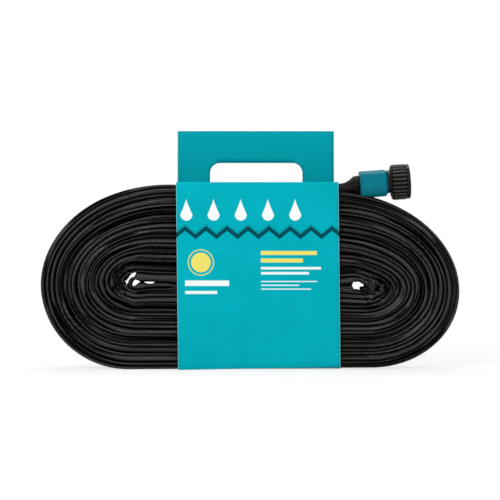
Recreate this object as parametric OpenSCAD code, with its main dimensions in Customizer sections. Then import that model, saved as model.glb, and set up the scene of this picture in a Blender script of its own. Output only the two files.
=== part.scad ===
// Flat soaker hose, wound on edge as an oval coil in a carry card.
// X runs along the coil, Y from front to back and Z up. The origin is on the ground under the middle.

/* [Hose] */
// Width of the hose when it lies flat
hose_flat_w = 22.4; // [20:0.1:23]
// Most thickness that the flat hose puffs up to
hose_puff_t = 8; // [6:0.1:10]
// Diameter of the jacket where the stem opens it
neck_d = 18.4; // [18:0.1:19]
// Wall of the woven jacket
jacket_wall = 1.1; // [0.8:0.1:1.4]
// Wall of the soft liner tube
liner_wall = 1.2; // [0.8:0.1:1.4]

/* [Coil] */
// From the middle to the left end of the coil
coil_left = 209; // [200:0.5:215]
// From the middle to the right end of the coil
coil_right = 209; // [205:0.5:215]
// From the middle to the right end of the back lane, which leaves room for the outlet
back_right = 162; // [150:0.5:163]
// Height of the coil over the ground, at its left shoulder
coil_top = 186.8; // [182:0.2:200]
// How much lower the right shoulder is
shoulder_drop = 8.8; // [8:0.1:12]
// How much higher the bottom right is than the bottom left
belly_rise = 3; // [0:0.1:4]
// Height of the coil's left end over the ground
left_end_z = 86; // [80:0.5:92]
// Height of the coil's right end over the ground
right_end_z = 78; // [76:0.5:86]
// From the middle to the left end of the innermost strand
core_left = 128; // [110:0.5:132]
// From the middle to the right end of the innermost strand
core_right = 140; // [120:0.5:144]
// From the middle to the right end of the innermost strand in the back lane
back_core_right = 112; // [100:0.5:115]
// Height of the core over the ground
core_z = 85.5; // [80:0.5:90]
// Height of the core, between the middles of its strands
core_h = 11; // [10.5:0.1:16]
// Turns in the front lane
front_turns = 13; // [10:1:13]
// Turns in the back lane
back_turns = 10; // [8:1:10]
// Air between two turns
turn_gap = 1; // [0.9:0.1:1.2]
// Air between the two lanes
lane_gap = 3.2; // [2:0.1:4]

/* [Card] */
// Width of the card along the coil
card_w = 162.5; // [150:0.5:170]
// How far the card's middle is to the right of the coil's middle
card_x = 7.25; // [0:0.25:9]
// Thickness of the card
card_t = 0.8; // [0.6:0.1:1.2]
// Room between the card and the hose
card_fit = 1.2; // [0.8:0.1:2]
// Height of the handle over its crease
handle_h = 54.8; // [45:0.1:60]
// Width of the hand hole
hole_w = 97; // [80:0.5:110]
// Height of the hand hole over the crease
hole_h = 21.7; // [18:0.1:25]
// Radius of the hand hole's upper corners
hole_r = 9; // [4:0.5:12]
// How far the hand hole runs on into the top panel
notch_l = 15; // [8:0.5:20]

/* [Couplings] */
// Rise of the inlet coupling towards its mouth
inlet_tilt = 4; // [0:0.5:8]
// Diameter of the collars
collar_d = 27; // [26:0.1:28]
// Length of the collars
collar_l = 28; // [24:0.5:30]
// Diameter of the coupling nut over its ribs
nut_d = 35.6; // [34:0.1:37]
// Length of the coupling nut
nut_l = 19.3; // [18.5:0.1:22]
// Ribs around the coupling nut
nut_ribs = 26; // [18:1:30]
// Bore of the stems
stem_bore_d = 9.2; // [7:0.1:10]
// Water hole of the flow disc
flow_hole_d = 2.5; // [1:0.1:4]
// Thickness of the inlet washer
washer_t = 2.8; // [2.4:0.1:3]
// Diameter of the end cap over its ribs
cap_d = 32.4; // [31.6:0.1:32.6]
// Length of the end cap
cap_l = 16; // [15:0.1:18]
// Length of the outlet thread
outlet_thread_l = 12; // [11:0.1:12.5]

/* [Hidden] */
$fn = 64;

black = [0.12, 0.115, 0.11];
plastic_black = [0.15, 0.145, 0.14];
teal = [0.02, 0.47, 0.54];
card_teal = [0, 0.66, 0.71];

// Garden hose thread: 11.5 threads to the inch
thread_pitch = 25.4 / 11.5;
male_thread_r = 13.49;
female_thread_r = 12.25;
thread_depth = 1.23;
thread_land = 0.55;

// Fits: pushed together, turning, screwed, and soft pieces in their seats
slip_fit = 0.05;
spin_fit = 0.1;
cap_fit = 0.16;
soft_fit = 0.3;
// A cut goes this far past the face that it opens
past = 1;

// ---- Coil ----
// Each half of a turn is a straight run and two corners, with this many rings along them
run_rings = 2;
corner_rings = 5;
half_rings = run_rings + 2 * corner_rings;
rings_a_turn = 2 * half_rings;
lane_y = (hose_flat_w + lane_gap) / 2;
strand_seat = 0.4;
coil_low = card_t + strand_seat;
// Where the four corners of a turn are centred along X, for the outermost and the innermost turn:
// top left, bottom left, bottom right, top right
outer_bends = [-80, -110, 125, 70];
core_bends = [-60, -105, 112, 70];
back_outer_bends = [-80, -110, 80, 60];
back_core_bends = [-60, -105, 85, 60];
// The hose leaves the outermost turn this far inside the card's edge, on its way to the inlet
inlet_leaves_in = 26.5;
inlet_leaves_x = card_x + card_w / 2 - inlet_leaves_in;
// How much the strand lifts where it changes lanes, and the share of the run that this takes
cross_lift = 1.5;
cross_span = 0.6;

function mix(a, b, f) = a + (b - a) * f;
function clamp(f) = min(1, max(0, f));
function smooth(f) = clamp(f) * clamp(f) * (3 - 2 * clamp(f));
function unit(v) = v / norm(v);

// The four corners of a turn, each [centre x, centre z, reach along x, reach along z]
function corners(bends, left, right, top_l, top_r, low_l, low_r, z_l, z_r) = [
    [bends[0], z_l, left + bends[0], top_l - z_l],
    [bends[1], z_l, left + bends[1], z_l - low_l],
    [bends[2], z_r, right - bends[2], z_r - low_r],
    [bends[3], z_r, right - bends[3], top_r - z_r]];

// The winding, counted in turns from the top right: in along the front lane, over to the back lane
// in the middle of a bottom run, and out again to the end of a bottom run
start_turn = (outer_bends[3] - inlet_leaves_x) / (outer_bends[3] - outer_bends[0])
    * run_rings / rings_a_turn;
cross_at = (half_rings + run_rings / 2) / rings_a_turn;
end_at = (half_rings + run_rings) / rings_a_turn;
cross_turn = front_turns + cross_at;
end_turn = front_turns + back_turns + end_at;
turns_in = cross_turn;
turns_out = end_turn - cross_turn;
// How far a turn has come at its top left, left, bottom left, bottom right, right and top right,
// and the same for the back lane, counted back from its outer end
places = [for (half = [0, half_rings], r = [run_rings, run_rings + corner_rings, half_rings])
    (half + r) / rings_a_turn];
back_places = [for (p = places) p > end_at ? end_at - p + 1 : end_at - p];

// A winding reaches d from its innermost strand, at some turn from its outer end. Half the thickness
// of its strand there, and how far from the innermost strand it would be at the outer end itself
function strand_half(d, turns) = (d / turns - turn_gap) / (2 + 1 / turns);
function start_reach(d, turns, at) = (d - strand_half(d, turns)) / (1 - at / turns);
core_top = core_z + core_h / 2;
core_low = core_z - core_h / 2;
function outermost(bends, right, core_end, turns, at) = corners(bends,
    core_left + start_reach(coil_left - core_left, turns, at[1]),
    core_end + start_reach(right - core_end, turns, at[4]),
    core_top + start_reach(coil_top - core_top, turns, at[0]),
    core_top + start_reach(coil_top - shoulder_drop - core_top, turns, at[5]),
    core_low - start_reach(core_low - coil_low, turns, at[2]),
    core_low - start_reach(core_low - coil_low - belly_rise, turns, at[3]),
    left_end_z, right_end_z);
function innermost(bends, core_end) = corners(bends, core_left, core_end, core_top, core_top,
    core_low, core_low, core_z, core_z);
front_outer = outermost(outer_bends, coil_right, core_right, turns_in, places);
front_core = innermost(core_bends, core_right);
back_outer = outermost(back_outer_bends, back_right, back_core_right, turns_out, back_places);
back_core = innermost(back_core_bends, back_core_right);

// A place on a turn with corners c. It runs anticlockwise seen from the front, and t goes from 0 to 1:
// the top run and the two left corners, then the bottom run and the two right ones
function on_corner(c, angle) = [c[0] + c[2] * cos(angle), c[1] + c[3] * sin(angle)];
function on_turn(c, t) =
    let (h = t < 0.5 ? 0 : 1, r = t * rings_a_turn - h * half_rings - run_rings, top = 90 + 180 * h)
    r < 0 ? mix(on_corner(c[2 * h], top), on_corner(c[3 - 2 * h], top), -r / run_rings) :
    r < corner_rings ? on_corner(c[2 * h], top + 90 * r / corner_rings) :
    on_corner(c[2 * h + 1], top + 90 * r / corner_rings);

// How far in the strand is, and how far over to the back lane
function inward(u) = u < cross_turn ? u / turns_in : (end_turn - u) / turns_out;
function crossed(u) = smooth((u - cross_turn) * rings_a_turn / run_rings / cross_span + 0.5);
function turn_corners(u) =
    let (c = crossed(u))
    mix(mix(front_outer, back_outer, c), mix(front_core, back_core, c), inward(u));
function strand(u) =
    let (p = on_turn(turn_corners(u), u - floor(u)), c = crossed(u))
    [p[0], mix(-lane_y, lane_y, c), p[1] + 4 * cross_lift * c * (1 - c)];

// Direction of the strand, and how far it is from the turn outside it
small_turn = 0.004;
function heading(u) =
    unit(strand(min(end_turn, u + small_turn)) - strand(max(start_turn, u - small_turn)));
function outside(u) = u < cross_turn ? (u > start_turn + 1 ? -1 : 1) : (u < end_turn - 1 ? 1 : -1);
function spacing(u) =
    let (h = heading(u), d = strand(u + outside(u)) - strand(u))
    abs(h[0] * d[2] - h[2] * d[0]) / norm([h[0], h[2]]);
function strand_t(u) = min(hose_puff_t, spacing(u) - turn_gap);

// ---- Rings of a swept hose ----
// A flat hose's section is a long hexagon, w across and t thick, whose edges taper over a share of t
edge_taper = 0.45;
function flat_section(w, t) =
    let (a = w / 2, b = w / 2 - edge_taper * t, h = t / 2)
    [[-a, 0], [-b, h], [b, h], [a, 0], [b, -h], [-b, -h]];
// The same outline with a point more in the middle of each side, to change slowly into a circle
function twelve(s) = [for (i = [0 : 5]) each [s[i], (s[i] + s[(i + 1) % 6]) / 2]];
function round_section(r) = [for (i = [0 : 11]) r * [-cos(30 * i), sin(30 * i)]];
function ring(centre, along, section) =
    let (side = unit([0, 1, 0] - along[1] * along), up = cross(along, side))
    [for (p = section) centre + p[0] * side + p[1] * up];

// A tube through rings of n points each, closed at both ends
module tube(rings) {
    n = len(rings[0]);
    last = (len(rings) - 1) * n;
    sides = [for (k = [0 : len(rings) - 2], i = [0 : n - 1])
        let (a = k * n + i, b = k * n + (i + 1) % n)
        each [[a, b, b + n], [a, b + n, a + n]]];
    first_face = [for (i = [1 : n - 2]) [0, i + 1, i]];
    last_face = [for (i = [1 : n - 2]) [last, last + i, last + i + 1]];
    polyhedron(points = [for (r = rings) each r], faces = concat(sides, first_face, last_face));
}

coil_turns = [start_turn, for (k = [1 : round(end_turn * rings_a_turn)]) k / rings_a_turn];
coil_rings = [for (u = coil_turns)
    ring(strand(u), heading(u), flat_section(hose_flat_w, strand_t(u)))];

// Least gap of the coil to itself, from each ring's points to the edges of every ring that is more
// than a third of a turn on, where the two are near enough to matter
near_enough = 16;
function to_edge(p, a, b) =
    let (d = b - a, f = clamp((p - a) * d / (d * d)))
    norm(p - a - f * d);
function least_gap(rings) = min([
    for (k = [0 : len(rings) - 1], j = [k + rings_a_turn / 3 : len(rings) - 2])
        if (norm(rings[k][0] - rings[j][0]) < near_enough)
            min([for (p = rings[k], i = [0 : 5]) to_edge(p, rings[j][i], rings[j + 1][i])])]);

module hose_coil() {
    echo(least_gap_of_the_coil_to_itself_mm = least_gap(coil_rings));
    color(black) tube(coil_rings);
}

// ---- Where the two fittings are ----
coil_start = strand(start_turn);
coil_end = strand(end_turn);
pack_half_depth = lane_y + hose_flat_w / 2;
nut_r = nut_d / 2;
cap_r = cap_d / 2;
cap_clear = 0.7;
// The end cap stands clear of both lanes, and the inlet is as far forward as the cap is back
outlet_y = cap_r - lane_gap / 2 + cap_clear;
inlet_y = nut_r - cap_r - outlet_y;
// The inlet's collar starts this far along from the outermost turn, and this far up
inlet_run = 48.4;
inlet_rise = 4.6;
inlet_pos = [inlet_leaves_x + inlet_run, inlet_y, coil_start[2] + inlet_rise];
outlet_pos = [back_right + cap_r - cap_clear / 2, outlet_y, right_end_z];
module at_inlet() {
    translate(inlet_pos) rotate([0, 90 - inlet_tilt, 0]) children();
}
module at_outlet() {
    translate(outlet_pos) children();
}

// ---- Leads: the flat hose opens out to a round neck, which the collar grips ----
neck_r = neck_d / 2;
// The neck stops short of the collar's end, where the stem fills the collar
neck_l = collar_l - 3;
neck_from = 0.2;
neck_bore_from = 1.5;
// The lead ends this far inside the collar, this much slimmer than the neck
lead_joint = 1;
lead_slack = 0.1;
lead_steps = 9;
small_step = 0.02;
// How late each lead opens out: its section is round by a share f of the way to this power
inlet_opens = 2.2;
outlet_opens = 3;
// The section at a share g of its change from flat to round
function lead_section(t, g) =
    mix(twelve(flat_section(hose_flat_w, t)), round_section(neck_r - lead_slack), g);

inlet_axis = [cos(inlet_tilt), 0, sin(inlet_tilt)];
inlet_joint = inlet_pos + lead_joint * inlet_axis;
// The inlet's lead runs level as far as the card's edge
level_for = (card_x + card_w / 2 - inlet_leaves_x) / (inlet_pos[0] - inlet_leaves_x);
function inlet_route(f) = [mix(coil_start[0], inlet_joint[0], f),
    mix(coil_start[1], inlet_joint[1], smooth(f)),
    mix(coil_start[2], inlet_joint[2], smooth((f - level_for) / (1 - level_for)))];
function inlet_along(f) = f == 0 ? -heading(start_turn) : f == 1 ? inlet_axis :
    unit(inlet_route(f + small_step) - inlet_route(f - small_step));
function outlet_route(f) = [mix(coil_end[0], outlet_pos[0], sin(90 * f)),
    mix(coil_end[1], outlet_pos[1], smooth(f)),
    mix(outlet_pos[2] + lead_joint, coil_end[2], cos(90 * f))];
function outlet_along(f) = f == 0 ? heading(end_turn) : f == 1 ? [0, 0, 1] :
    unit(outlet_route(f + small_step) - outlet_route(f - small_step));

module neck() {
    difference() {
        translate([0, 0, neck_from]) cylinder(r = neck_r, h = neck_l - neck_from);
        translate([0, 0, neck_bore_from]) cylinder(r = neck_r - jacket_wall, h = neck_l);
    }
}

module inlet_lead() {
    color(black) {
        tube([for (k = [0 : lead_steps], f = [k / lead_steps])
            ring(inlet_route(f), inlet_along(f),
                lead_section(strand_t(start_turn), pow(f, inlet_opens)))]);
        at_inlet() neck();
    }
}

module outlet_lead() {
    color(black) {
        tube([for (k = [0 : lead_steps], f = [k / lead_steps])
            ring(outlet_route(f), outlet_along(f),
                lead_section(strand_t(end_turn), pow(f, outlet_opens)))]);
        at_outlet() neck();
    }
}

// ---- Liner: the soft tube inside the jacket, pushed over the stem's barbs ----
liner_from = neck_bore_from + 0.5;
liner_r = neck_r - jacket_wall - slip_fit;
barb_r = liner_r - liner_wall - slip_fit;

module liner() {
    translate([0, 0, liner_from]) difference() {
        cylinder(r = liner_r, h = neck_l - liner_from);
        translate([0, 0, -past]) cylinder(r = liner_r - liner_wall, h = neck_l + 2 * past);
    }
}

module inlet_liner() {
    color("dimgray") at_inlet() liner();
}

module outlet_liner() {
    color("dimgray") at_outlet() liner();
}

// ---- Collar: the ring that grips the hose on the stem ----
collar_r = collar_d / 2;
collar_round = 1.6;
collar_chamfer = 2.2;
// A small pocket on the upper side: its place along the collar, depth, width and length
pocket_at = 0.4;
pocket_depth = 1.2;
pocket_w = 2.6;
pocket_l = 3;

module collar() {
    middle = [collar_r - collar_round, collar_round];
    difference() {
        rotate_extrude() polygon([
            [neck_r + slip_fit, 0],
            for (a = [-90 : 15 : 0]) middle + collar_round * [cos(a), sin(a)],
            [collar_r, collar_l - collar_chamfer], [collar_r - collar_chamfer, collar_l],
            [neck_r + slip_fit, collar_l]]);
        translate([-collar_r, 0, collar_l * pocket_at])
            cube([pocket_depth * 2, pocket_w, pocket_l], center = true);
    }
}

module inlet_collar() {
    color(teal) at_inlet() collar();
}

module outlet_collar() {
    color(teal) at_outlet() collar();
}

// ---- Stems: barbed tube, shoulder that the collar stops on, and the coupling end ----
stem_from = liner_from + 1;
barb_count = 5;
barb_drop = 0.55;
// Each barb rises over this share of its length, and drops by the next
barb_crest = 0.75;
barb_foot = 0.8;
shoulder_r = 11.5;
shoulder_t = 2.5;
shoulder_from = collar_l + slip_fit;
shoulder_to = shoulder_from + shoulder_t;
stem_bore_r = stem_bore_d / 2;
seat_r = neck_r - slip_fit;
seat_from = neck_l + slip_fit;

function barb_outline() =
    let (step = (neck_l - stem_from) / barb_count)
    [for (i = [0 : barb_count - 1]) each [
        [barb_r - barb_drop, stem_from + i * step],
        [barb_r, stem_from + (i + barb_crest) * step],
        [barb_r - barb_drop, stem_from + (i + barb_foot) * step]]];
// From the mouth over the barbs to the seat that fills the collar, the shoulder and the end
function stem_outline(end) = concat([[stem_bore_r, stem_from]], barb_outline(),
    [[barb_r - barb_drop, seat_from], [seat_r, seat_from], [seat_r, shoulder_from],
    [shoulder_r, shoulder_from], [shoulder_r, shoulder_to]], end);

// Thread rings between two places along a fitting, from their root to their crest
function thread(from, to, root, crest) =
    let (count = floor((to - from) / thread_pitch), lead = (to - from - (count - 1) * thread_pitch) / 2,
        land = thread_land / 2, foot = (thread_land + thread_depth) / 2)
    [for (i = [0 : count - 1], z = [from + lead + i * thread_pitch])
        each [[root, z - foot], [crest, z - land], [crest, z + land], [root, z + foot]]];

// The nut's rear wall turns on the neck behind this flange
turn_room = 0.3;
nut_from = shoulder_to + turn_room;
nut_wall = 2.4;
swivel_r = 9.6;
flange_r = female_thread_r - 0.35;
flange_t = 2;
flange_from = nut_from + nut_wall + turn_room;
flange_to = flange_from + flange_t;

module inlet_stem() {
    color(plastic_black) at_inlet() rotate_extrude() polygon(stem_outline([
        [swivel_r, shoulder_to], [swivel_r, flange_from], [flange_r, flange_from],
        [flange_r, flange_to], [stem_bore_r, flange_to]]));
}

outlet_mouth = shoulder_to + outlet_thread_l;
module outlet_stem() {
    root = male_thread_r - thread_depth;
    color(plastic_black) at_outlet() rotate_extrude() polygon(stem_outline(concat(
        [[root, shoulder_to]], thread(shoulder_to, outlet_mouth, root, male_thread_r),
        [[root, outlet_mouth], [stem_bore_r, outlet_mouth]])));
}

// ---- Coupling nut: ribbed, with a plain rim at its mouth and the female thread inside ----
rib_h = 0.8;
rib_sides = 16;
// The outline that chamfers a ribbed bar stands this far off its ribs
rib_room = 0.2;
rim_l = 3.2;
rim_r = nut_r - 0.2;
rim_lap = 0.5;
nut_rear_chamfer = 1.6;
nut_mouth_chamfer = 0.8;
mouth_flare = 0.4;
recess_r = female_thread_r + 0.7;
disc_t = 1.2;
disc_from = flange_to + spin_fit;
washer_from = disc_from + disc_t + slip_fit;
washer_bore_r = 8;
thread_from = washer_from + washer_t + 0.2;
nut_to = nut_from + nut_l;
thread_to = nut_to - 0.6;

// A round bar with half-round ribs along it
module ribbed_bar(r, h, ribs) {
    linear_extrude(h) union() {
        circle(r = r - rib_h);
        for (i = [0 : ribs - 1]) rotate(i * 360 / ribs) translate([r - rib_h, 0])
            circle(r = rib_h, $fn = rib_sides);
    }
}

module nut_outside() {
    outline_r = nut_r + rib_room;
    intersection() {
        union() {
            translate([0, 0, nut_from]) ribbed_bar(nut_r, nut_l - rim_l, nut_ribs);
            translate([0, 0, nut_to - rim_l - rim_lap]) cylinder(r = rim_r, h = rim_l + rim_lap);
        }
        rotate_extrude() polygon([[0, nut_from], [nut_r - nut_rear_chamfer, nut_from],
            [outline_r, nut_from + nut_rear_chamfer + rib_room],
            [outline_r, nut_to - nut_mouth_chamfer - rib_room],
            [nut_r - nut_mouth_chamfer, nut_to], [0, nut_to]]);
    }
}

module coupling_nut() {
    root = female_thread_r + thread_depth;
    turns_on = swivel_r + spin_fit;
    color(plastic_black) at_inlet() difference() {
        nut_outside();
        rotate_extrude() polygon(concat(
            [[0, nut_from - past], [turns_on, nut_from - past], [turns_on, nut_from + nut_wall],
            [recess_r, nut_from + nut_wall], [recess_r, thread_from], [root, thread_from]],
            thread(thread_from, thread_to, root, female_thread_r),
            [[root, thread_to], [root + mouth_flare, nut_to + past], [0, nut_to + past]]));
    }
}

module inlet_washer() {
    color("dimgray") at_inlet() translate([0, 0, washer_from]) difference() {
        cylinder(r = recess_r - soft_fit, h = washer_t);
        translate([0, 0, -past]) cylinder(r = washer_bore_r, h = washer_t + 2 * past);
    }
}

module flow_disc() {
    color("white") at_inlet() translate([0, 0, disc_from]) difference() {
        cylinder(r = flange_r, h = disc_t);
        translate([0, 0, -past]) cylinder(d = flow_hole_d, h = disc_t + 2 * past);
    }
}

// ---- End cap: screws over the outlet's thread and presses the seal on its mouth ----
cap_ribs = 24;
cap_wall = 2.4;
cap_from = shoulder_to + 1;
cap_to = cap_from + cap_l;
cap_bore_r = male_thread_r + cap_fit;
cap_chamfer = 1;
seal_from = outlet_mouth + spin_fit;
seal_to = cap_to - cap_wall - spin_fit;

module end_cap() {
    outline_r = cap_r + rib_room;
    color(plastic_black) at_outlet() difference() {
        intersection() {
            translate([0, 0, cap_from]) ribbed_bar(cap_r, cap_l, cap_ribs);
            rotate_extrude() polygon([[0, cap_from], [outline_r, cap_from],
                [outline_r, cap_to - cap_chamfer - rib_room], [cap_r - cap_chamfer, cap_to],
                [0, cap_to]]);
        }
        translate([0, 0, cap_from - past]) cylinder(r = cap_bore_r, h = cap_l - cap_wall + past);
    }
}

module cap_seal() {
    color("dimgray") at_outlet() translate([0, 0, seal_from])
        cylinder(r = cap_bore_r - soft_fit, h = seal_to - seal_from);
}

// ---- Card: a wrap around the middle of the coil, with a carry handle on its back edge ----
card_half_depth = pack_half_depth + card_fit + card_t;
card_top = coil_top + strand_seat + card_t;
card_corner = 0.8;
crease_gap = 0.7;
crease_z = card_top + crease_gap;
crease_y = card_half_depth - card_t / 2;
card_from_x = card_x - card_w / 2;

module rounded_square(w, h, r) {
    union() {
        translate([r, 0]) square([w - 2 * r, h]);
        translate([0, r]) square([w, h - 2 * r]);
        for (x = [r, w - r], y = [r, h - r]) translate([x, y]) circle(r = r, $fn = 24);
    }
}

module card_wrap() {
    inner_w = 2 * (card_half_depth - card_t);
    color(card_teal) difference() {
        translate([card_from_x, -card_half_depth, 0]) rotate([90, 0, 90]) linear_extrude(card_w)
            difference() {
                rounded_square(2 * card_half_depth, card_top, card_corner);
                translate([card_t, card_t]) square([inner_w, card_top - 2 * card_t]);
            }
        translate([card_x - hole_w / 2, card_half_depth - notch_l, card_top - card_t - past])
            cube([hole_w, notch_l + past, card_t + 2 * past]);
    }
}

module hand_hole() {
    union() {
        square([hole_w, hole_h + past - hole_r]);
        translate([hole_r, 0]) square([hole_w - 2 * hole_r, hole_h + past]);
        for (x = [hole_r, hole_w - hole_r]) translate([x, hole_h + past - hole_r]) circle(r = hole_r);
    }
}

module card_handle() {
    color(card_teal) translate([card_from_x, crease_y + card_t / 2, crease_z]) rotate([90, 0, 0])
        linear_extrude(card_t) difference() {
            square([card_w, handle_h]);
            translate([(card_w - hole_w) / 2, -past]) hand_hole();
        }
}

hose_coil();
inlet_lead();
inlet_liner();
inlet_stem();
inlet_collar();
coupling_nut();
inlet_washer();
flow_disc();
outlet_lead();
outlet_liner();
outlet_stem();
outlet_collar();
end_cap();
cap_seal();
card_wrap();
card_handle();
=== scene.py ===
import math
import bmesh
import bpy
import numpy as np
from mathutils import Matrix, Vector


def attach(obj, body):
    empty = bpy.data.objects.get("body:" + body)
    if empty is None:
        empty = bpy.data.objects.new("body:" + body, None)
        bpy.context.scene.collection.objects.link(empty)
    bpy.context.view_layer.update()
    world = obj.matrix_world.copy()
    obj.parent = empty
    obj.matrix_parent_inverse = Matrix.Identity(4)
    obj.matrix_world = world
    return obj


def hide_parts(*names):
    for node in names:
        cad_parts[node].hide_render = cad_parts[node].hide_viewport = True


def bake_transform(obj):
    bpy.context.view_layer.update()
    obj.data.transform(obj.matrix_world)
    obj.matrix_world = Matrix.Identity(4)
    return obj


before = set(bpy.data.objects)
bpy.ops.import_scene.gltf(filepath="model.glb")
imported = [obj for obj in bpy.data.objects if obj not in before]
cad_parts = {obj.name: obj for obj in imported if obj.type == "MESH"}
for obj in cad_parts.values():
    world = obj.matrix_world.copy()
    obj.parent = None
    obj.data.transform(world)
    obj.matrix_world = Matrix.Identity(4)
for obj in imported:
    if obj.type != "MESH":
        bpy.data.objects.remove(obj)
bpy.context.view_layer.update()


# ---- small helpers ----

def mix(a, b, f):
    return a + (b - a) * f


def smooth(f):
    f = np.clip(f, 0, 1)
    return f * f * (3 - 2 * f)


def nearTo(value, place, reach):
    return np.exp(-((value - place) / reach) ** 2)


def eased(value, places, heights, reach=0.004):
    # a table read with its bends rounded off
    return sum(np.interp(value + d * reach, places, heights) for d in (-1, -0.5, 0, 0.5, 1)) / 5


def unitRows(v):
    return v / np.maximum(np.linalg.norm(v, axis=1, keepdims=True), 1e-12)


def stepsOf(points):
    return np.linalg.norm(np.diff(points, axis=0), axis=1)


def summed(steps):
    return np.concatenate([[0], np.cumsum(steps)])


def wander(seed, waves, strength):
    # a slow, repeatable wobble: a few sines with seeded phases, about strength high
    rng = np.random.default_rng(seed)
    phases = rng.uniform(0, 2 * np.pi, len(waves))
    sizes = rng.uniform(0.6, 1.0, len(waves))
    sizes = strength * sizes / sizes.sum() * 1.6

    def at(u):
        return sum(s * np.sin(2 * np.pi * w * u + p) for s, w, p in zip(sizes, waves, phases))
    return at


def gridFaces(rows, columns, roundRows=False, roundColumns=False):
    # a grid's quads; a round one runs on from its last row or column to its first
    a = np.arange(rows if roundRows else rows - 1)[:, None]
    i = np.arange(columns if roundColumns else columns - 1)[None, :]
    b, j = (a + 1) % rows, (i + 1) % columns
    return np.stack([a * columns + i, b * columns + i, b * columns + j, a * columns + j], 2)


def placed(name, data):
    piece = bpy.data.objects.new(name, data)
    bpy.context.scene.collection.objects.link(piece)
    return piece


def meshObject(name, points, faces, materials, uv=None):
    mesh = bpy.data.meshes.new(name)
    mesh.from_pydata(np.asarray(points).reshape(-1, 3).tolist(), [], faces)
    if uv is not None:
        layer = mesh.uv_layers.new(name="UVMap")
        layer.data.foreach_set("uv", np.asarray(uv, dtype=np.float32).ravel())
    for material in materials:
        mesh.materials.append(material)
    mesh.polygons.foreach_set("use_smooth", [True] * len(mesh.polygons))
    mesh.update()
    return placed(name, mesh)


def bakeModifiers(piece):
    # the evaluated mesh takes the place of the piece's own, and the modifiers go
    bpy.context.view_layer.update()
    graph = bpy.context.evaluated_depsgraph_get()
    mesh = bpy.data.meshes.new_from_object(piece.evaluated_get(graph))
    mesh.name = piece.name
    piece.modifiers.clear()
    piece.data = mesh
    return piece


def reshaped(mesh, work):
    # opens a mesh for editing, does the work and writes it back
    edited = bmesh.new()
    edited.from_mesh(mesh)
    work(edited)
    edited.to_mesh(mesh)
    edited.free()


def joined(name, material, *pieces):
    # one mesh of several, all in one material
    whole = bpy.data.meshes.new(name)

    def gather(mesh):
        for piece in pieces:
            mesh.from_mesh(piece.data)
        for face in mesh.faces:
            face.material_index = 0
    reshaped(whole, gather)
    for piece in pieces:
        bpy.data.objects.remove(piece)
    whole.materials.append(material)
    return placed(name, whole)


# ---- camera ----

cameraLook = {
    "place": (0.0, -1.342, 0.120),
    "lens": 94.75,
    "sensor": 36.0,
}

cameraData = bpy.data.cameras.new("camera")
cameraData.lens = cameraLook["lens"]
cameraData.sensor_width = cameraLook["sensor"]
camera = placed("camera", cameraData)
camera.location = cameraLook["place"]
camera.rotation_euler = (math.pi / 2, 0, 0)
bpy.context.scene.camera = camera
print("camera placed")


# ---- node trees ----

class Nodes:
    # the tree of a material, a world or a node group, with short calls for what is built below
    def __init__(self, owner):
        self.owner = self.tree = owner
        if not isinstance(owner, bpy.types.NodeTree):
            owner.use_nodes = True
            self.tree = owner.node_tree
        self.coords = None

    def feed(self, socket, value):
        if isinstance(value, bpy.types.NodeSocket):
            self.tree.links.new(value, socket)
        else:
            socket.default_value = value

    def node(self, kind, inputs=(), **settings):
        # inputs are given in order, or as a dictionary by name or number
        node = self.tree.nodes.new(kind)
        for key, value in settings.items():
            setattr(node, key, value)
        for key, value in inputs.items() if isinstance(inputs, dict) else enumerate(inputs):
            self.feed(node.inputs[key], value)
        return node

    def add(self, kind, inputs=(), **settings):
        return self.node(kind, inputs, **settings).outputs[0]

    def maths(self, operation, *values):
        return self.add("ShaderNodeMath", values, operation=operation)

    def plus(self, a, b):
        return self.maths("ADD", a, b)

    def minus(self, a, b):
        return self.maths("SUBTRACT", a, b)

    def times(self, a, b):
        return self.maths("MULTIPLY", a, b)

    def most(self, a, b):
        return self.maths("MAXIMUM", a, b)

    def vector(self, operation, *values):
        node = self.node("ShaderNodeVectorMath", values, operation=operation)
        return node.outputs["Value" if operation in ("LENGTH", "DOT_PRODUCT", "DISTANCE") else 0]

    def place(self, what="Object"):
        if self.coords is None:
            self.coords = self.node("ShaderNodeTexCoord")
        return self.coords.outputs[what]

    def scaled(self, vector, scale):
        return self.add("ShaderNodeMapping", {"Vector": vector, "Scale": scale})

    def noise(self, vector, scale, detail, roughness):
        return self.add("ShaderNodeTexNoise", {"Vector": vector, "Scale": scale, "Detail": detail,
                                               "Roughness": roughness})

    def span(self, *values):
        # a value, its range and the range that it is stretched to
        return self.add("ShaderNodeMapRange", values)

    def blendColours(self, factor, a, b):
        return self.node("ShaderNodeMix", {0: factor, 6: a, 7: b}, data_type="RGBA").outputs[2]

    def bump(self, height, distance, strength, under=None):
        inputs = {"Height": height, "Distance": distance, "Strength": strength}
        if under is not None:
            inputs["Normal"] = under
        return self.add("ShaderNodeBump", inputs)

    def finish(self, colour, roughness, normal, gloss=0.5, tint=(1, 1, 1, 1)):
        values = {"Base Color": colour, "Roughness": roughness, "Normal": normal,
                  "Specular IOR Level": gloss, "Specular Tint": tint}
        for key, value in values.items():
            self.feed(self.tree.nodes["Principled BSDF"].inputs[key], value)
        return self.owner


def newMaterial(name):
    return Nodes(bpy.data.materials.new(name))


def ink(red, green, blue):
    # a colour as it is seen, 0 to 255, in the renderer's own linear numbers
    def linear(c):
        c = c / 255
        return c / 12.92 if c <= 0.04045 else ((c + 0.055) / 1.055) ** 2.4
    return (linear(red), linear(green), linear(blue), 1.0)


# ---- hose ----

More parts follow.
